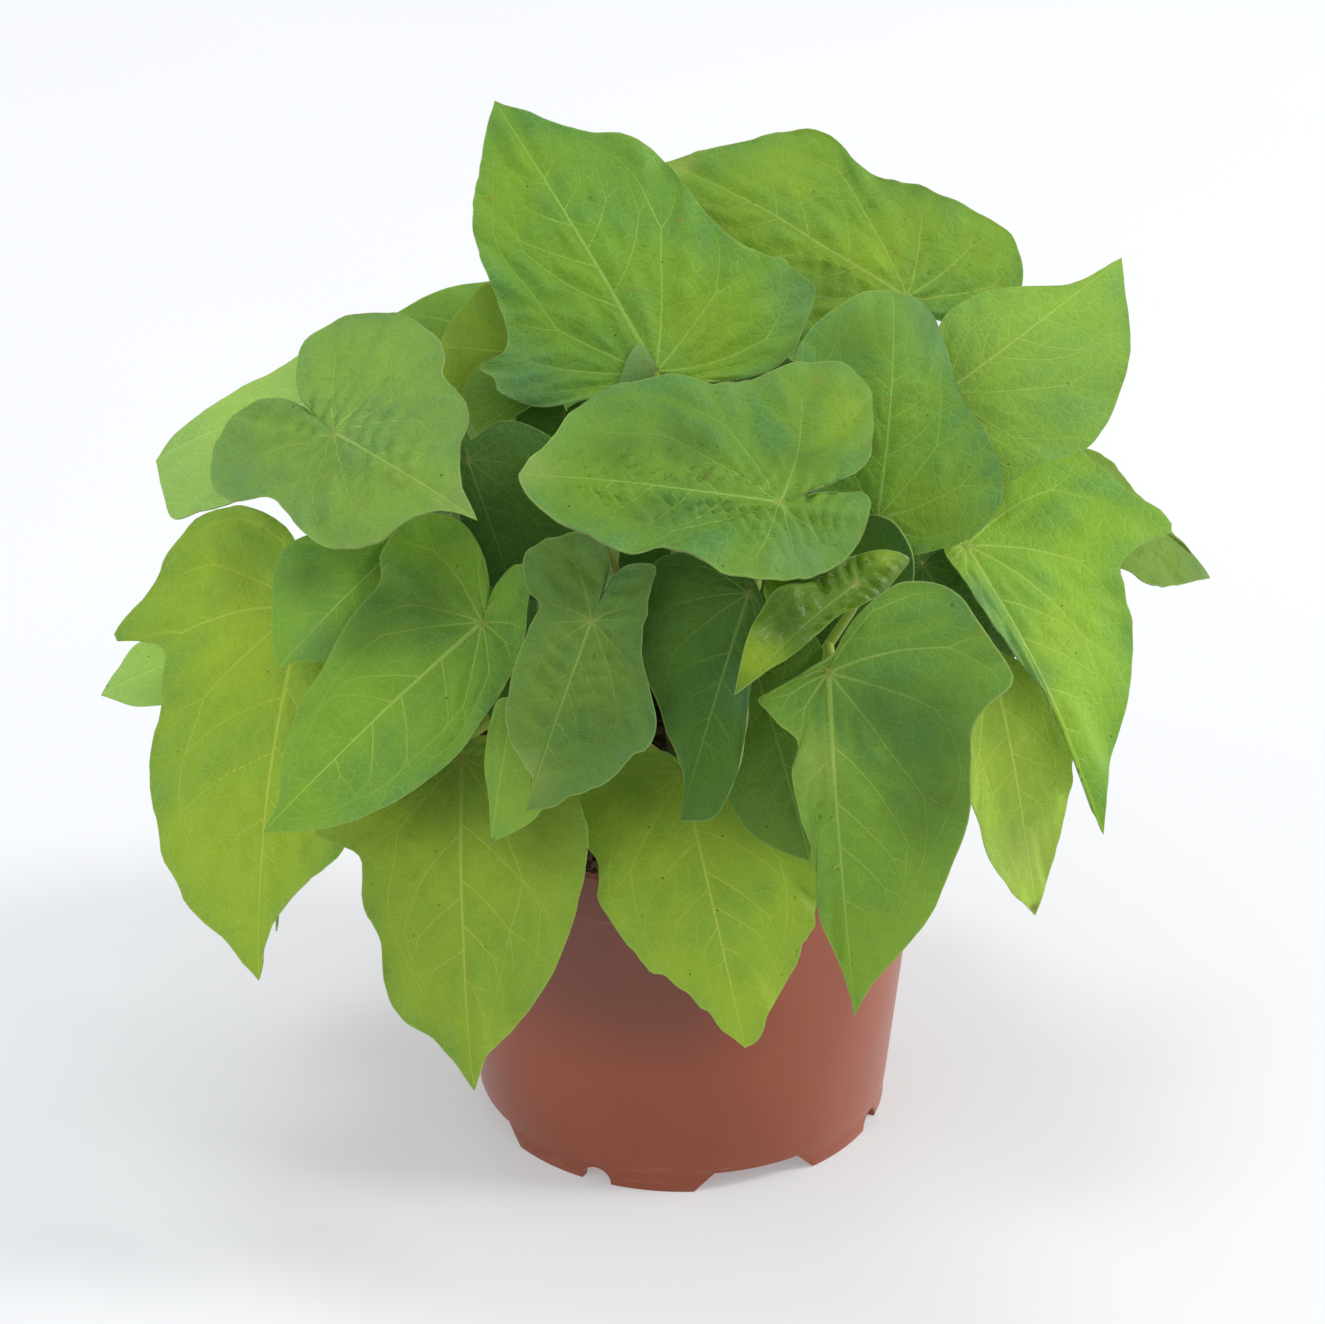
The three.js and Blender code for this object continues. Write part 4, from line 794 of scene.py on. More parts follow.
class Veins:
    """Grows veins over the leaf's plane; each new one stops where it meets another."""

    CELL = 0.6
    STEP = 0.9
    EDGE = 0.72     # share of the way out from which a vein bends along the edge

    def __init__(self, outline, length, rng):
        self.outline, self.length, self.rng = outline, length, rng
        self.taken, self.paths = {}, []

    def cell(self, p):
        return (math.floor(p[0] / self.CELL), math.floor(p[1] / self.CELL))

    def grow(self, start, angle, rank, width, curl=0.0, limit=200.0, stop=0.96, hug=0.0, wander=0.02,
             end_width=None):
        """Steps out from `start`. `curl` turns the vein per mm, and `hug` bends it along the edge."""
        own = len(self.paths)
        points, run, (x, y) = [start], 0.0, start
        spoor = [self.cell(start)]
        while run < limit:
            out = self.outline.out(x, y)
            if hug and out > self.EDGE:
                aim = math.atan2(-y, self.length - x)
                pull = hug * min((out - self.EDGE) / 0.2, 1)
                difference = (aim - angle + math.pi) % (2 * math.pi) - math.pi
                angle += max(-pull, min(pull, difference))
            turning = rank > 1 or abs(angle) > 0.3
            angle += (curl * self.STEP if turning else 0.0) + self.rng.normal(0, wander)
            x, y = x + self.STEP * math.cos(angle), y + self.STEP * math.sin(angle)
            run += self.STEP
            if self.outline.out(x, y) > stop:
                break
            points.append((x, y))
            cell = self.cell((x, y))
            if self.taken.get(cell, own) != own and run > (2.2 if rank > 1 else 9):
                break
            spoor.append(cell)
        if len(points) < 3:
            return None
        for cell in spoor:
            self.taken.setdefault(cell, own)
        taper = np.linspace(0, 1, len(points))
        tail = width * 0.35 if end_width is None else end_width
        widths = width + (tail - width) * taper ** 0.8
        self.paths.append({"points": np.array(points), "rank": rank, "width": widths})
        return self.paths[-1]

    def forked(self, start, angle, width, fork_at, **how):
        """A main vein that parts in two before it reaches the edge."""
        stem = self.grow(start, angle, 1, width, stop=fork_at, end_width=0.55 * width, **how)
        if stem is None:
            return []
        (ax, ay), (bx, by) = stem["points"][-3], stem["points"][-1]
        heading = math.atan2(by - ay, bx - ax)
        toward_tip = -1 if math.sin(angle) > 0 else 1
        self.grow((bx, by), heading + toward_tip * 0.45, 1, 0.55 * width, hug=0.05, stop=0.94)
        self.grow((bx, by), heading - toward_tip * 0.5, 1, 0.5 * width, curl=toward_tip * 0.03, stop=0.95)
        return [stem]

    def branch(self, parents, spacing, first, angle, rank, width, curl=0.0, **how):
        """Veins leaving both sides of each parent in turn."""
        for parent in parents:
            points = parent["points"]
            run, at, side = 0.0, first, self.rng.choice([-1, 1])
            for i in range(1, len(points) - 1):
                run += self.STEP
                if run < at:
                    continue
                at += spacing * self.rng.uniform(0.7, 1.3)
                side = -side
                heading = points[i + 1] - points[i - 1]
                toward = math.atan2(heading[1], heading[0]) + side * (angle + self.rng.normal(0, 0.08))
                self.grow(tuple(points[i]), toward, rank, width, curl=-side * curl, **how)


def leaf_veins(outline, length, rng, detail):
    """Midrib, veins fanning from the stalk, side veins and, in a detailed leaf, cross veins."""
    veins = Veins(outline, length, rng)
    big = min(max(length / USUAL, 0.45), 1.1)
    midrib = veins.grow((0.0, 0.0), angle=0.0, rank=0, width=1.5 * big, stop=0.985, wander=0.0,
                        end_width=0.3)
    main = []
    for side in (1, -1):
        for degrees in (30, 62, 96, 134):
            turn = math.radians(degrees + rng.normal(0, 4)) * side
            bend = -side * (0.34 if degrees < 90 else 0.46) / max(outline.reach(turn), 8)
            start = turn - bend * outline.reach(turn) * 0.5
            main += veins.forked((0.0, 0.0), start, 0.9 * big, rng.uniform(0.62, 0.76), curl=bend,
                                 wander=0.014)
        for share in (0.2, 0.35, 0.5, 0.64, 0.77):
            x = length * (share + (0.05 if side < 0 else 0) + rng.normal(0, 0.012))
            turn = side * math.radians(56 + rng.normal(0, 5))
            main += veins.forked((x, 0.0), turn, 0.62 * big, rng.uniform(0.68, 0.8),
                                 curl=-side * 0.016 / big, wander=0.016)
    veins.branch(main, spacing=14 * big, first=9 * big, angle=0.85, rank=2, width=0.34, curl=0.015, limit=26)
    if detail:
        second = [path for path in veins.paths if path["rank"] == 2]
        veins.branch([midrib, *main], spacing=3.1, first=2.5, angle=1.35, rank=3, width=0.24, limit=16,
                     wander=0.07)
        veins.branch(second, spacing=4.2, first=3.0, angle=1.3, rank=3, width=0.2, limit=9, wander=0.07)
    return veins.paths


def distance_to(paths, flat):
    """Distance of each point of the leaf's plane to the nearest of its larger veins."""
    strong = np.vstack([path["points"] for path in paths if path["rank"] <= 2])
    tree = KDTree(len(strong))
    for i, (x, y) in enumerate(strong.tolist()):
        tree.insert((x, y, 0), i)
    tree.balance()
    return np.array([tree.find((x, y, 0))[2] for x, y in flat.tolist()])


def point_normals(points, faces):
    """Normals at the points of a sheet of triangles and quads."""
    tri = np.array([face[:3] for face in faces] + [[face[0], *face[2:]] for face in faces if len(face) > 3])
    a, b, c = (points[tri[:, k]] for k in range(3))
    flat = np.cross(b - a, c - a)
    normals = np.zeros_like(points)
    for k in range(3):
        np.add.at(normals, tri[:, k], flat)
    return normals / np.maximum(np.linalg.norm(normals, axis=1), 1e-12)[:, None]


def disc_faces(rings, count):
    """Faces of a disc: a middle point and rings of points round it."""
    fan = [[0, 1 + i, 1 + (i + 1) % count] for i in range(count)]
    return fan + [[a, d, c, b] for a, b, c, d in grid_faces(rings, count, True, 1)]


class Blade:
    """The bent sheet of one leaf, as a middle point at the stalk and rings of points out to the edge."""

    THICK = 0.25    # from the sheet to its upper and its lower skin
    RIM = 0.45      # width of the outermost ring
    BULGE, GROOVE = 0.75, 3.4       # height between the veins, and half the width of the groove along one
    HALO = 2.6      # half the width of the yellower band along a vein
    TINTS = (0.95, 0.8, 0.6, 0.4)   # how pale the veins of each rank are
    RIB = (0.04, 0.09, 0.16, 0.26, 0.38, 0.52, 0.66, 0.8)   # places of the rib under the blade
    LUMPS = {"fine": 4.5, "wave": 26, "pleats": 12, "jag": (6, 3), "ripple": (11, 5)}   # sizes across
    FINE, SWELL = 0.3, 1.5          # heights of the fine bulges and of the broad waves
    INLAND = 9      # distance to the edge that ridges, turned corners and the stalk are marked with
    CLEAR = (30, 0, 0)              # place that the stalk is marked with, clear of the tint at the joint

    def __init__(self, leaf, index, look, detail):
        self.base, self.midrib, self.left, self.up, self.length = leaf_axes(leaf)
        self.look, self.index = look, index
        self.count, self.rings = self.fineness(detail)
        edge, arc = self.cut_edge(leaf)
        self.outline = Outline(edge)
        rng = np.random.default_rng(SEED["veins"] + index)
        self.veins = leaf_veins(self.outline, self.length, rng, detail)

        shares = np.arange(1, self.rings) / self.rings
        reach = np.linalg.norm(edge, axis=1)
        inset = np.maximum(1 - self.RIM / np.maximum(reach, 1), 0.9)
        self.last, self.rim = shares[-1], np.maximum(inset, shares[-1] + 0.002)
        flat = np.vstack([np.zeros((1, 2)), *(edge * s for s in shares), edge * self.rim[:, None], edge])
        out = np.concatenate([[0], np.repeat(shares, self.count), inset, np.ones(self.count)])
        near = distance_to(self.veins, flat)
        self.x, self.y = flat.T
        height = self.relief(out, near, arc) + blade_rise(leaf, self.length, self.x, self.y)
        self.points = self.place(flat, height[:, None])
        self.faces = disc_faces(self.rings + 1, self.count)
        self.normals = point_normals(self.points, self.faces)
        if self.normals[0] @ self.up < 0:
            self.normals = -self.normals
        margin = (1 - out) * np.concatenate([[reach.mean()], np.tile(reach, self.rings + 1)])
        self.marks = np.stack([bell(near, self.HALO), margin, np.zeros(len(out))], 1)

    def place(self, flat, height):
        return self.base + flat[:, :1] * self.midrib + flat[:, 1:] * self.left + height * self.up

    def fineness(self, detail):
        """Number of points round the edge, and of rings."""
        if self.length < SMALL:
            return GRID["small" if detail else "small_hidden"]
        if not detail:
            return GRID["hidden"]
        return GRID["toothed" if self.look["teeth"] else "shown"]

    def cut_edge(self, leaf):
        """The edge with its lobes, uneven margin and teeth, and the way along it."""
        edge = leaf_edge(leaf, self.length, self.count)
        edge *= 1 + self.look["lobes"] * smooth(1.5 - 3 * edge[:, :1] / self.length)
        arc = run_along(edge)
        jag = self.look["jag"] * uneven(arc, self.LUMPS["jag"], (1, 0.6), self.index, SEED["jag"])
        for along, across, width, amount in self.look["teeth"]:
            jag += amount * bell(np.hypot(edge[:, 0] - along, edge[:, 1] - across), width)
        return edge * (1 + (jag / np.linalg.norm(edge, axis=1))[:, None]), arc

    def relief(self, out, near, arc):
        """Bulges between the veins, waves, ripples of the margin, and what the look adds."""
        x, y, look, index = self.x, self.y, self.look, self.index
        size = min(max(self.length / USUAL, 0.35), 1.15)
        height = look["pucker"] * size * self.BULGE * (0.5 - bell(near, self.GROOVE)) * smooth(out * 4)
        fine = lattice_noise(x + 50, y + 50, self.LUMPS["fine"], index) * (1 - bell(near, 2))
        height += look["pucker"] * size * self.FINE * fine
        wave = lattice_noise(x + 80, y + 80, self.LUMPS["wave"], index + SEED["wave"])
        height += size * self.SWELL * wave * smooth(out * 2)
        ripple = look["ripple"] * size * uneven(arc, self.LUMPS["ripple"], (1.3, 0.5), index, SEED["ripple"])
        ripple = np.concatenate([[0], np.tile(ripple, self.rings + 1)])
        height += ripple * smooth((out - 0.62) / 0.38)
        pleats, gap, until = look["pleats"]
        drift = lattice_noise(x + 30, y + 30, self.LUMPS["pleats"], index + SEED["pleats"])
        phase = (x + 0.5 * np.abs(y)) / gap + 0.6 * drift
        fade = bell(y, 12) * smooth(np.abs(y) / 3) * smooth((1 - out) * 3)
        height += pleats * np.sin(2 * math.pi * phase) * fade * smooth((until - x / self.length) * 4)
        height += look["cup"] * y ** 2 + look["valley"] * (np.hypot(y, 3) - 3)
        for along, across, width, amount in look["dents"]:
            height += amount * bell(np.hypot(x - along, y - across), width)
        return height

    def at(self, x, y):
        """The sheet's point and normal over a point of the leaf's plane."""
        k, t, share = self.outline.locate(x, y)
        share = min(share, 0.995)
        step = share * self.rings

        def ring(j, values):
            start = 1 + j * self.count
            return (1 - t) * values[start + k % self.count] + t * values[start + (k + 1) % self.count]
        if step < 1:
            return (1 - step) * self.points[0] + step * ring(0, self.points), self.normals[1 + k % self.count]
        j = int(step) - 1
        if j < self.rings - 2:
            f = step - 1 - j
        else:
            j = self.rings - 2
            f = min((share - self.last) / (self.rim[k % self.count] - self.last), 1)
        return (1 - f) * ring(j, self.points) + f * ring(j + 1, self.points), unit(ring(j, self.normals))

    def add_skins(self, body):
        """Upper skin, lower skin, coarser where the leaf is smooth, and the rim between them."""
        count, thick = self.count, self.THICK * self.normals
        flat = np.stack([self.x, self.y, np.ones(len(self.x))], 1)
        body.add(self.points + thick, self.faces, leaf=flat, mark=self.marks)
        step = 1 if self.look["pucker"] > 1.2 or self.look["pleats"][0] > 0 else 3
        rows = sorted({*range(step - 1, self.rings + 1, step), self.rings})
        kept = np.array([0] + [1 + r * count + c for r in rows for c in range(count)])
        low = [face[:1] + face[:0:-1] for face in disc_faces(len(rows), count)]
        top = 1 + self.rings * count
        foot = body.count + len(kept) - count
        body.add((self.points - thick)[kept], low, leaf=flat[kept] * (1, 1, 0), mark=self.marks[kept])
        body.faces += [[top + i, foot + i, foot + (i + 1) % count, top + (i + 1) % count] for i in range(count)]

    def add_ridge(self, body, path, side, crest, sunk, tint):
        """A vein as a slim ridge on the upper (1) or the lower (-1) side."""
        points, width = path["points"], path["width"]
        if side < 0 or path["rank"] == 3:
            keep = np.unique(np.append(np.arange(0, len(points), 2), len(points) - 1))
            points, width = points[keep], width[keep]
        heading = np.gradient(points, axis=0)
        heading /= np.maximum(np.linalg.norm(heading, axis=1), 1e-9)[:, None]
        spots, flats = [], []
        for (x, y), (hx, hy), w in zip(points.tolist(), heading.tolist(), width):
            for offset, lift in ((0.5, -sunk), (0.0, 0.05 + crest * w), (-0.5, -sunk)):
                flat = x - hy * w * offset, y + hx * w * offset
                spot, normal = self.at(*flat)
                spots.append(spot + side * (self.THICK + lift) * normal)
                flats.append((*flat, max(side, 0)))
        faces = grid_faces(len(points), 3, False)
        body.add(spots, [face[::-side] for face in faces], leaf=flats, mark=(1, self.INLAND, tint))

    def add_veins(self, body):
        for path in self.veins:
            self.add_ridge(body, path, side=1, crest=0.07, sunk=0.02, tint=self.TINTS[path["rank"]])
            if path["rank"] < 2:
                self.add_ridge(body, path, side=-1, crest=0.30, sunk=0.05, tint=1.0)

    def add_corner(self, body, first, last, apex, rise):
        """A corner of the margin turned over onto the blade, which shows its underside."""
        first, last, apex = (np.array(spot, float) for spot in (first, last, apex))
        rows, columns = 9, 14
        w, t = np.meshgrid(np.linspace(0, 0.98, rows), np.linspace(-0.5, 0.5, columns), indexing="ij")
        wide = (t * (1 - w) ** 0.7).reshape(-1, 1)
        w = w.reshape(-1, 1)
        flat = (first + last) / 2 + wide * (last - first) + w * (apex - (first + last) / 2)
        ground = np.array([(self.at(*spot)[0] - self.base) @ self.up for spot in flat.tolist()])[:, None]
        sheet = self.place(flat, ground + self.THICK + 0.2 + 4 * rise * w * (1 - w))
        size = len(sheet)
        upper = grid_faces(rows, columns, False)
        lower = [[corner + size for corner in face[::-1]] for face in upper]
        hem = [*range(columns), *range(2 * columns - 1, size, columns),
               *range(size - 2, size - columns - 1, -1), *range(size - 2 * columns, 0, -columns)]
        sides = [[a, b, b + size, a + size] for a, b in zip(hem, hem[1:] + hem[:1])]
        under = np.hstack([np.vstack([flat, flat]), np.full((2 * size, 1), 0.2)])
        body.add(np.vstack([sheet, sheet - 0.3 * self.up]), upper + lower + sides, leaf=under,
                 mark=(0, self.INLAND, 0))

    def add_stalk(self, body, leaf):
        """The stalk, merging into a rib under the blade."""
        stem = catmull(STEMS[leaf["stem"]], False)
        root, ahead = stem(leaf["at"]), min(leaf["at"] + 0.01, 1)
        upward = unit(stem(ahead) - stem(ahead - 0.02))
        outward = self.base - root
        outward = unit(outward - upward * (outward @ upward))
        begin = root + outward * (STEM["radius"] + STEM["gap"] + STALK["radius"] * STALK["lean"])
        reach = STALK["reach"] * np.linalg.norm(self.base - begin)
        c1 = begin + unit(outward + upward) * reach + leaf["bow"]
        c2 = self.base + unit(-0.5 * self.midrib - 0.85 * self.up) * reach + leaf["bow"]
        t = np.linspace(0, 1, STALK["rings"])[:, None]
        curve = ((1 - t) ** 3 * begin + 3 * t * (1 - t) ** 2 * c1 + 3 * t * t * (1 - t) * c2
                 + t ** 3 * (self.base - self.up * 0.9))
        thin = STALK["end_radii"][0 if self.length > SMALL else 1]
        radii = np.interp(t[:, 0], [0, 0.12, 0.9, 1], [*STALK["foot_radii"], thin, thin * 1.08])
        if self.length < TINY:
            radii = radii * 0.75
        path, radii = [root + outward * (STEM["radius"] * 0.4), *curve], [radii[0] * 1.1, *radii]
        for share in self.RIB:
            spot, normal = self.at(share * self.length, 0.0)
            radii.append(thin * (1 - share) * 0.8 + 0.12)
            path.append(spot - normal * (self.THICK + radii[-1] * 0.45))
        points, faces, share = tube(path, radii, STALK["sides"])
        share = np.clip(share * (len(path) - 1) / STALK["rings"], 0.03, 1)
        body.add(points, faces, leaf=self.CLEAR, mark=(0, self.INLAND, 0), stalk=np.stack([share] * 3, 1))


def make_leaf(name, leaf, index):
    detail = name in FRONT_LEAVES
    look = {**PLAIN_LOOK, "tone": leaf["colour"], **LOOKS.get(name, {})}
    blade, body = Blade(leaf, index, look, detail), Body()
    blade.add_skins(body)
    blade.add_veins(body)
    for flap in look["flaps"]:
        blade.add_corner(body, *flap)
    blade.add_stalk(body, leaf)
    material = leaf_material(name + "_skin", index * 1.7, look)
    body.finish(name, material, "leaf_" + leaf["colour"], "leaf_" + name)


def with_outline(leaf, half, width):
    """A leaf with both edges from a table, `half` being in shares of the length."""
    length = np.linalg.norm(np.subtract(leaf["tip"], leaf["base"]))
    left = [[along * length, out * length * width] for along, out in pairs(half)]
    return {**leaf, "left": left, "right": left[:-1]}


def front_leaf(*row):
    leaf = dict(zip(COLUMNS, row))
    return {"bow": (0, 0, 0), **leaf, "left": pairs(leaf["left"]), "right": pairs(leaf["right"])}


def inner_leaf(stem, at, base, tip, face, width, bow=(0, 0, 0)):
    leaf = dict(zip(COLUMNS, (stem, at, base, tip, face, 0.06, (-0.08, -0.08), "dark")))
    return with_outline({**leaf, "bow": bow}, HEART, width)


def outer_leaf(stem, at, joint, tip, rise, half, width, colour, bow=(0, 0, 0)):
    def place(degrees, distance, height):
        angle = math.radians(degrees)
        return [distance * math.sin(angle), -distance * math.cos(angle), height]
    rise = math.radians(rise)
    face = place((joint[0] + tip[0]) / 2, math.cos(rise), math.sin(rise))
    leaf = dict(zip(COLUMNS, (stem, at, place(*joint), place(*tip), face, 0.1, (-0.1, -0.1), colour)))
    return with_outline({**leaf, "bow": bow}, half, width)


ALL_LEAVES = {name: front_leaf(*row) for name, row in FRONT_LEAVES.items()}
ALL_LEAVES.update({name: inner_leaf(*row) for name, row in INNER_LEAVES.items()})
ALL_LEAVES.update({name: outer_leaf(*row) for name, row in OUTER_LEAVES.items()})
for index, (name, leaf) in enumerate(ALL_LEAVES.items(), 1):
    make_leaf(name, leaf, index)

# ---------------------------------------------------------------- stems


def make_stem(name, points, material):
    """A stem with a knot at each stalk, which closes in a small pointed bud."""
    curve = catmull(points, False)
    shares = np.linspace(0, 1, STEM["rings"])
    path = np.array([curve(s) for s in shares])
    radii = STEM["foot_radius"] - STEM["taper"] * shares
    joints = sorted(leaf["at"] for leaf in ALL_LEAVES.values() if leaf["stem"] == name)
    for i, joint in enumerate(joints):
        radii += STEM["knot"] * bell(shares - joint, 0.022)
        path[:, 0] += (-1) ** i * STEM["zigzag"] * bell(shares - joint, 0.05)
    ahead = unit(path[-1] - path[-2])
    path = np.vstack([path, [path[-1] + ahead * distance for distance, _ in BUD]])
    points, faces, share = tube(path, [*radii, *(radius for _, radius in BUD)], STEM["sides"])
    body = Body()
    body.add(points, faces, stalk=np.stack([share] * 3, 1))
    body.finish(name + "_stem", material, "stem", "stem_" + name)


stem_skin = stem_material()
for name, points in STEMS.items():
    make_stem(name, points, stem_skin)

# ---------------------------------------------------------------- pot

FLOOR_TOP = POT["foot_height"] + POT["floor"]
WALL_SLOPE = (POT["shoulder_radius"] - POT["foot_radius"]) / (POT["height"] - POT["collar_height"])


def inner_radius(z):
    return POT["foot_radius"] + WALL_SLOPE * z - POT["wall"]


def cut_starts(row):
    return [row["start"] + 360 * i / row["count"] for i in range(row["count"])]


def foot_underside(degrees):
    """Height of the foot ring's lower edge, cut away in arches and bridges."""
    for row in (ARCH, BRIDGE):
        half = row["half_width"]
        for start in cut_starts(row):
            off = (degrees - start + 180) % 360 - 180
            aside = abs(POT["foot_radius"] * math.sin(math.radians(off)))
            if abs(off) > 40 or aside >= half:
                continue
            if row is ARCH:
                return row["height"] - half + math.sqrt(half ** 2 - aside ** 2)
            top = POT["foot_height"] - 0.1
            return min(top, (half - aside) * top / (half - row["half_top"]))
    return 0.0


def pot_turns():
    """Directions round the pot, closer together at the edges of the cut-aways."""
    turns = set(np.arange(0, 360, 1.25).tolist())
    for row in (ARCH, BRIDGE):
        half = row["half_width"]
        widths = {half - 0.02, half + 0.02, half - 0.5, row.get("half_top", 0)}
        widths |= {half * s for s in (0.0, 0.3, 0.55, 0.75, 0.88, 0.96)}
        offs = [math.degrees(math.asin(width / POT["foot_radius"])) for width in widths]
        turns |= {(start + sign * off) % 360 for start in cut_starts(row) for off in offs for sign in (1, -1)}
    kept = []
    for turn in sorted(turns):
        if not kept or turn - kept[-1] > 0.02:
            kept.append(turn)
    return kept


def arc_points(radius_at, height_at, radius, start, end, count):
    turn = np.radians(np.linspace(start, end, count))
    return np.stack([radius_at + radius * np.cos(turn), height_at + radius * np.sin(turn)], 1).tolist()


def line_points(start, end, shares):
    return [[a + s * (b - a) for a, b in zip(start, end)] for s in shares]


def pot_profile():
    """Radius and height from under the floor, outside, over the lip and back inside, in three parts,
    of which the middle one is the foot ring."""
    foot, top, lift = POT["foot_radius"], POT["height"], POT["foot_height"]
    inner = foot - POT["foot_thickness"]
    shoulder, collar = top - POT["collar_height"], POT["collar_radius"]
    lip, floor_rim, bend = collar - POT["collar_wall"], inner_radius(FLOOR_TOP), POT["lip_round"]
    ledge = (foot + POT["ledge"], lift + 0.7)
    across = (52, 43, 33, 24, 12, 0.5)
    under = [(r, lift) for r in across[::-1]] + [(inner - 1, lift)]
    ring = [(inner, lift - 0.01), (inner, 3.5), (inner + 0.1, 0.3), (inner + 0.4, 0), (foot - 0.5, 0),
            (foot - 0.12, 0.12), (foot, 0.5), (foot, 3.5), (foot, lift - 0.4)]
    wall = [(foot + 0.06, lift - 0.1), (foot + 0.4, lift + 0.2)]
    wall += line_points(ledge, (POT["shoulder_radius"], shoulder - 0.3), np.arange(15) / 14)
    wall += [(POT["shoulder_radius"] + 0.35, shoulder)]
    wall += arc_points(collar - 0.7, shoulder + 0.75, 0.7, -80, 0, 5)
    wall += [(collar, shoulder + z) for z in (4, 8, 11.5)]
    wall += arc_points(collar - bend, top - bend, bend, 0, 90, 6)
    wall += arc_points(lip + bend, top - bend, bend, 90, 180, 6)
    wall += line_points((lip, top - bend), (floor_rim, FLOOR_TOP), np.linspace(0.04, 0.98, 14))
    wall += [(floor_rim - 0.3, FLOOR_TOP + 0.3), (floor_rim - 1, FLOOR_TOP)]
    wall += [(r, FLOOR_TOP) for r in across]
    return under, ring, wall


def drill(piece, spots, radius, low, high):
    """Round holes through a piece, from one height to another."""
    corners = 40
    turn = np.arange(corners) * 2 * math.pi / corners
    cutters = []
    for x, y in spots:
        mesh = bpy.data.meshes.new("drain_cutter")
        points = [(x + radius * math.cos(a), y + radius * math.sin(a), z) for z in (low, high) for a in turn]
        ends = [list(range(corners))[::-1], list(range(corners, 2 * corners))]
        mesh.from_pydata((np.array(points) * MM).tolist(), [], grid_faces(2, corners) + ends)
        cutters.append(link("drain_cutter", mesh))
        cut = piece.modifiers.new("drain", "BOOLEAN")
        cut.object, cut.operation, cut.solver = cutters[-1], "DIFFERENCE", "EXACT"
    done = bpy.data.meshes.new_from_object(piece.evaluated_get(bpy.context.evaluated_depsgraph_get()))
    piece.modifiers.clear()
    piece.data = done
    for cutter in cutters:
        bpy.data.objects.remove(cutter)


def make_pot():
    turns = pot_turns()
    cut = np.array([foot_underside(turn) for turn in turns])
    angle, lift = np.radians(turns), POT["foot_height"]
    under, ring, wall = pot_profile()
    rows = [(r, np.full(len(turns), float(z))) for r, z in under]
    rows += [(r, cut + z * (lift - cut) / lift) for r, z in ring]
    rows += [(r, np.full(len(turns), float(z))) for r, z in wall]
    rings = [np.stack([r * np.sin(angle), -r * np.cos(angle), z], 1) for r, z in rows]
    body = Body()
    body.add(*capped(rings, (0, 0, lift), (0, 0, FLOOR_TOP)))
    pot = body.finish("nursery_pot", pot_material(), "pot", "pot")
    turn, away = np.arange(POT["drain_count"]) * 2 * math.pi / POT["drain_count"], POT["drain_ring"]
    spots = [(away * math.sin(a), -away * math.cos(a)) for a in turn]
    drill(pot, spots, POT["drain_radius"], low=2.5, high=12.5)
    pot.data.set_sharp_from_angle(angle=math.radians(32))


make_pot()

# ---------------------------------------------------------------- soil


def soil_height(radius):
    return np.interp(radius, [0, SOIL["shoulder_radius"], inner_radius(SOIL["edge"])],
                     [SOIL["middle"], SOIL["shoulder"], SOIL["edge"]])


def icosahedron(size):
    """Points and faces of a ball of twenty triangles, with edges `size` x 2 long."""
    golden, signs = (1 + 5 ** 0.5) / 2, (-1, 1)
    ball = np.array([(0, s, t * golden) for s in signs for t in signs]
                    + [(s, t * golden, 0) for s in signs for t in signs]
                    + [(t * golden, 0, s) for s in signs for t in signs], float) * size

    def longest(corners):
        return max(np.linalg.norm(ball[a] - ball[b]) for a, b in combinations(corners, 2))
    faces = [corners for corners in combinations(range(12), 3) if longest(corners) < 2.02 * size]
    return ball, [[a, b, c] if np.linalg.det(ball[[a, b, c]]) > 0 else [a, c, b] for a, b, c in faces]


def make_soil():
    """A lumpy bed that fills the pot, strewn with crumbs."""
    rng = np.random.default_rng(SEED["soil"])
    columns, rows, crumbs = SOIL["columns"], SOIL["rows"], SOIL["crumbs"]
    rim, foot_z = inner_radius(SOIL["edge"]) - 0.5, FLOOR_TOP + 0.3
    turn = np.arange(columns) * 2 * math.pi / columns
    radius = np.linspace(1.2, rim, rows)[:, None] * np.ones(columns)
    x, y = radius * np.cos(turn), radius * np.sin(turn)
    z = soil_height(radius) - 0.6
    for amount, cell, seed in ((1.0, 7, 5), (0.7, 3.1, 6), (0.4, 1.5, 7)):
        z += amount * lattice_noise(x + 99, y + 99, cell, seed)
    walls = [(rim, SOIL["edge"] - 5), (inner_radius(60) - 0.6, 60), (inner_radius(foot_z) - 0.6, foot_z)]
    walls += [(r, foot_z) for r in (40, 20, 1.2)]
    rings = [*np.stack([x, y, z], 2)]
    rings += [np.stack([r * np.cos(turn), r * np.sin(turn), np.full(columns, h)], 1) for r, h in walls]
    points, faces = capped(rings, (0, 0, SOIL["middle"] - 0.4), (0, 0, foot_z))
    body = Body()
    body.add(points, [face[::-1] for face in faces])
    ball, ball_faces = icosahedron(1 / 1.9)
    for _ in range(crumbs):
        spread = math.sqrt(rng.random()) * (rim - 2.5)
        heading = rng.uniform(0, 2 * math.pi)
        size = 0.5 + 1.5 * rng.random() ** 3
        lump = ball * rng.uniform(0.6, 1.1, 3) * size * rng.uniform(0.8, 1.2, (12, 1))
        lump = lump @ np.array(Matrix.Rotation(rng.uniform(0, 6), 3, Vector(unit(rng.normal(size=3)))))
        middle = spread * math.cos(heading), spread * math.sin(heading), float(soil_height(spread)) - 0.3
        body.add(lump + middle + (0, 0, rng.uniform(-0.5, 0.7)), ball_faces)
    body.finish("soil_bed", soil_material(), "soil", "soil")


make_soil()

# ---------------------------------------------------------------- floor, light and camera

HALF_FLOOR = 30.0
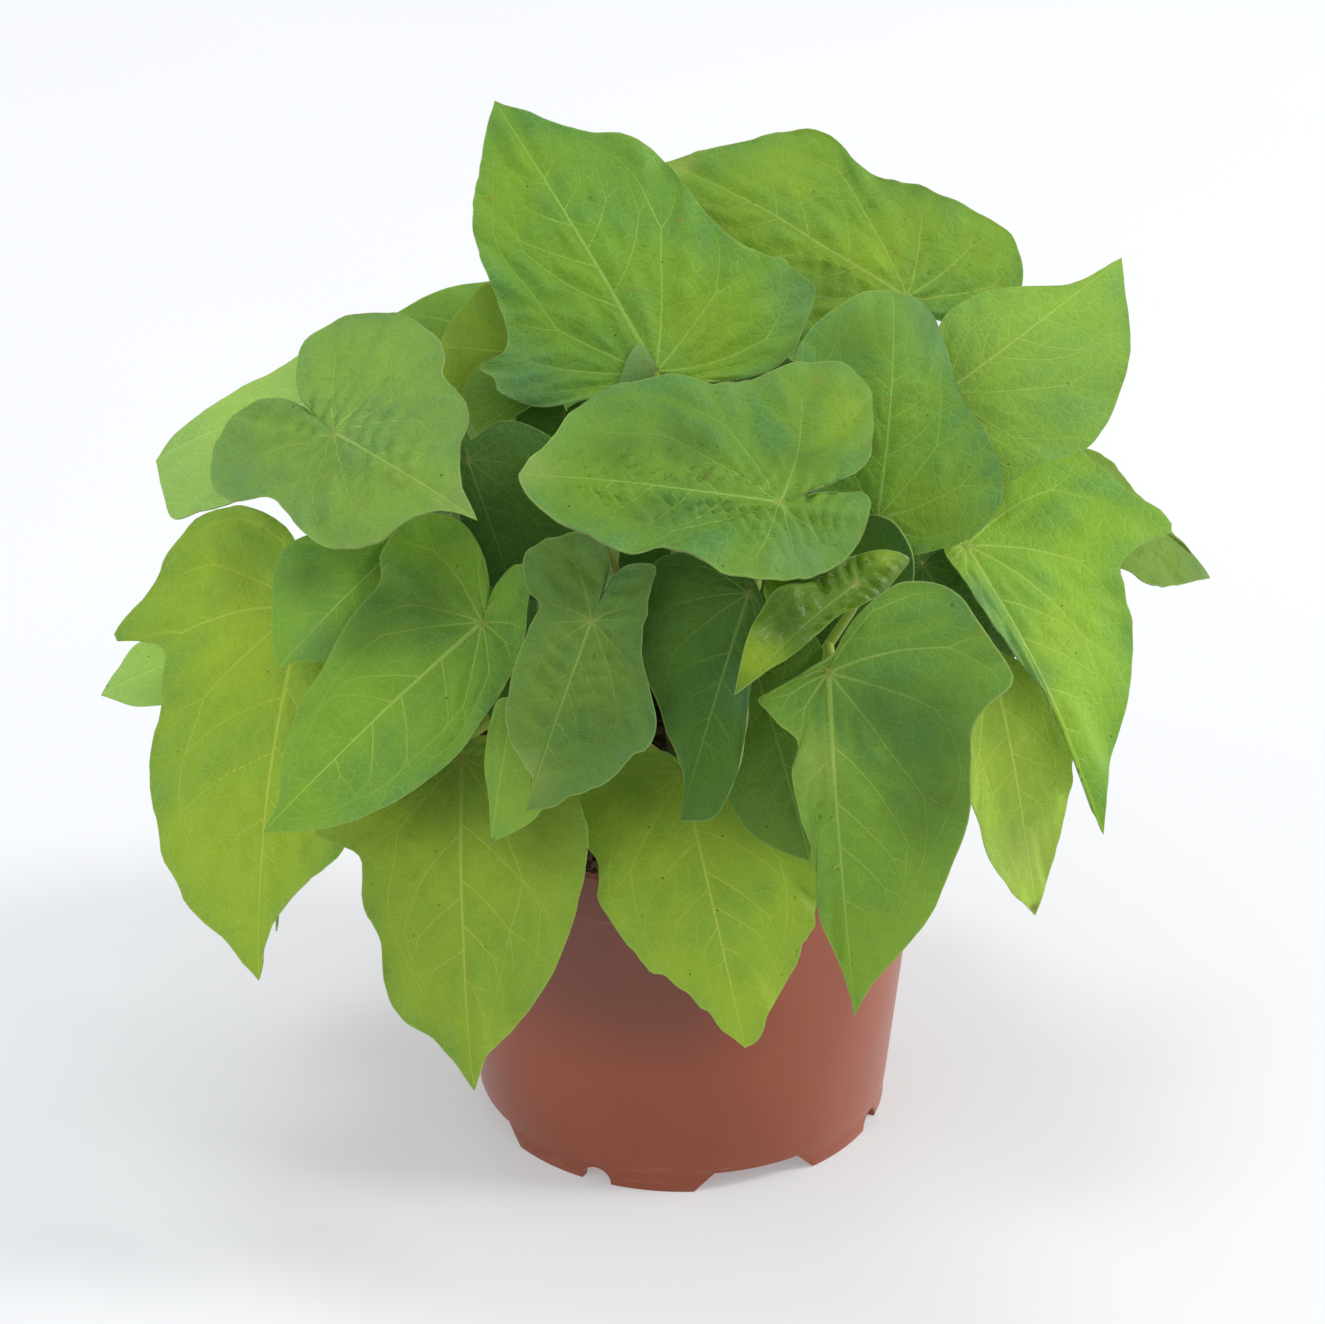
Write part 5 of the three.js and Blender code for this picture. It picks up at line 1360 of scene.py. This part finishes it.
# place, point it shines at, size, watts and colour, in metres
LIGHTS = {
    "key": ((5.2, -0.7, 5.2), (0, 0, 0.12), 1.7, 195, (1.0, 0.99, 0.97)),
    "fill": ((-4.4, -4.2, 4.4), (0, 0, 0.08), 3.4, 48, (0.99, 0.99, 1.0)),
    "top": ((-1.0, 0.6, 8.0), (0, 0, 0.1), 2.8, 108, (0.98, 0.99, 1.0)),
    "rim": ((2.6, 0.6, 0.5), (0, 0, 0.05), 0.9, 24, (1.0, 0.98, 0.96)),
}
SKY, SKY_STRENGTH = (0.96, 0.98, 1.0, 1), 0.72
CAMERA = {"place": (0, -0.8712, 0.5531), "down": 25.008, "turn": -0.418, "sensor": 36, "lens": 86.94}


def make_floor():
    mesh = bpy.data.meshes.new("floor")
    corners = [(x * HALF_FLOOR, y * HALF_FLOOR, 0) for x, y in ((-1, -1), (1, -1), (1, 1), (-1, 1))]
    mesh.from_pydata(corners, [], [[0, 1, 2, 3]])
    mesh.materials.append(floor_material())
    floor = link("floor", mesh)


def make_light(name, place, aim, size, watts, colour):
    light = bpy.data.lights.new(name, "AREA")
    light.shape, light.size, light.energy, light.color = "DISK", size, watts, colour
    lamp = link(name, light)
    lamp.location = place
    lamp.rotation_mode = "QUATERNION"
    lamp.rotation_quaternion = (Vector(aim) - Vector(place)).to_track_quat("-Z", "Y")


def make_camera():
    data = bpy.data.cameras.new("camera")
    data.sensor_width, data.lens = CAMERA["sensor"], CAMERA["lens"]
    data.clip_start, data.clip_end = 0.05, 100
    camera = link("camera", data)
    pitch, yaw = math.radians(CAMERA["down"]), math.radians(CAMERA["turn"])
    ahead = Vector((math.sin(yaw) * math.cos(pitch), math.cos(yaw) * math.cos(pitch), -math.sin(pitch)))
    right = ahead.cross(Vector((0, 0, 1))).normalized()
    turned = Matrix((right, right.cross(ahead), -ahead)).transposed().to_4x4()
    camera.matrix_world = Matrix.Translation(CAMERA["place"]) @ turned
    bpy.context.scene.camera = camera


def make_world():
    world = bpy.data.worlds.new("studio")
    bpy.context.scene.world = world
    world.use_nodes = True
    sky = world.node_tree.nodes["Background"]
    sky.inputs["Color"].default_value = SKY
    sky.inputs["Strength"].default_value = SKY_STRENGTH


make_floor()
for name, light in LIGHTS.items():
    make_light(name, *light)
make_world()
make_camera()
bpy.context.scene.view_settings.view_transform = "Standard"
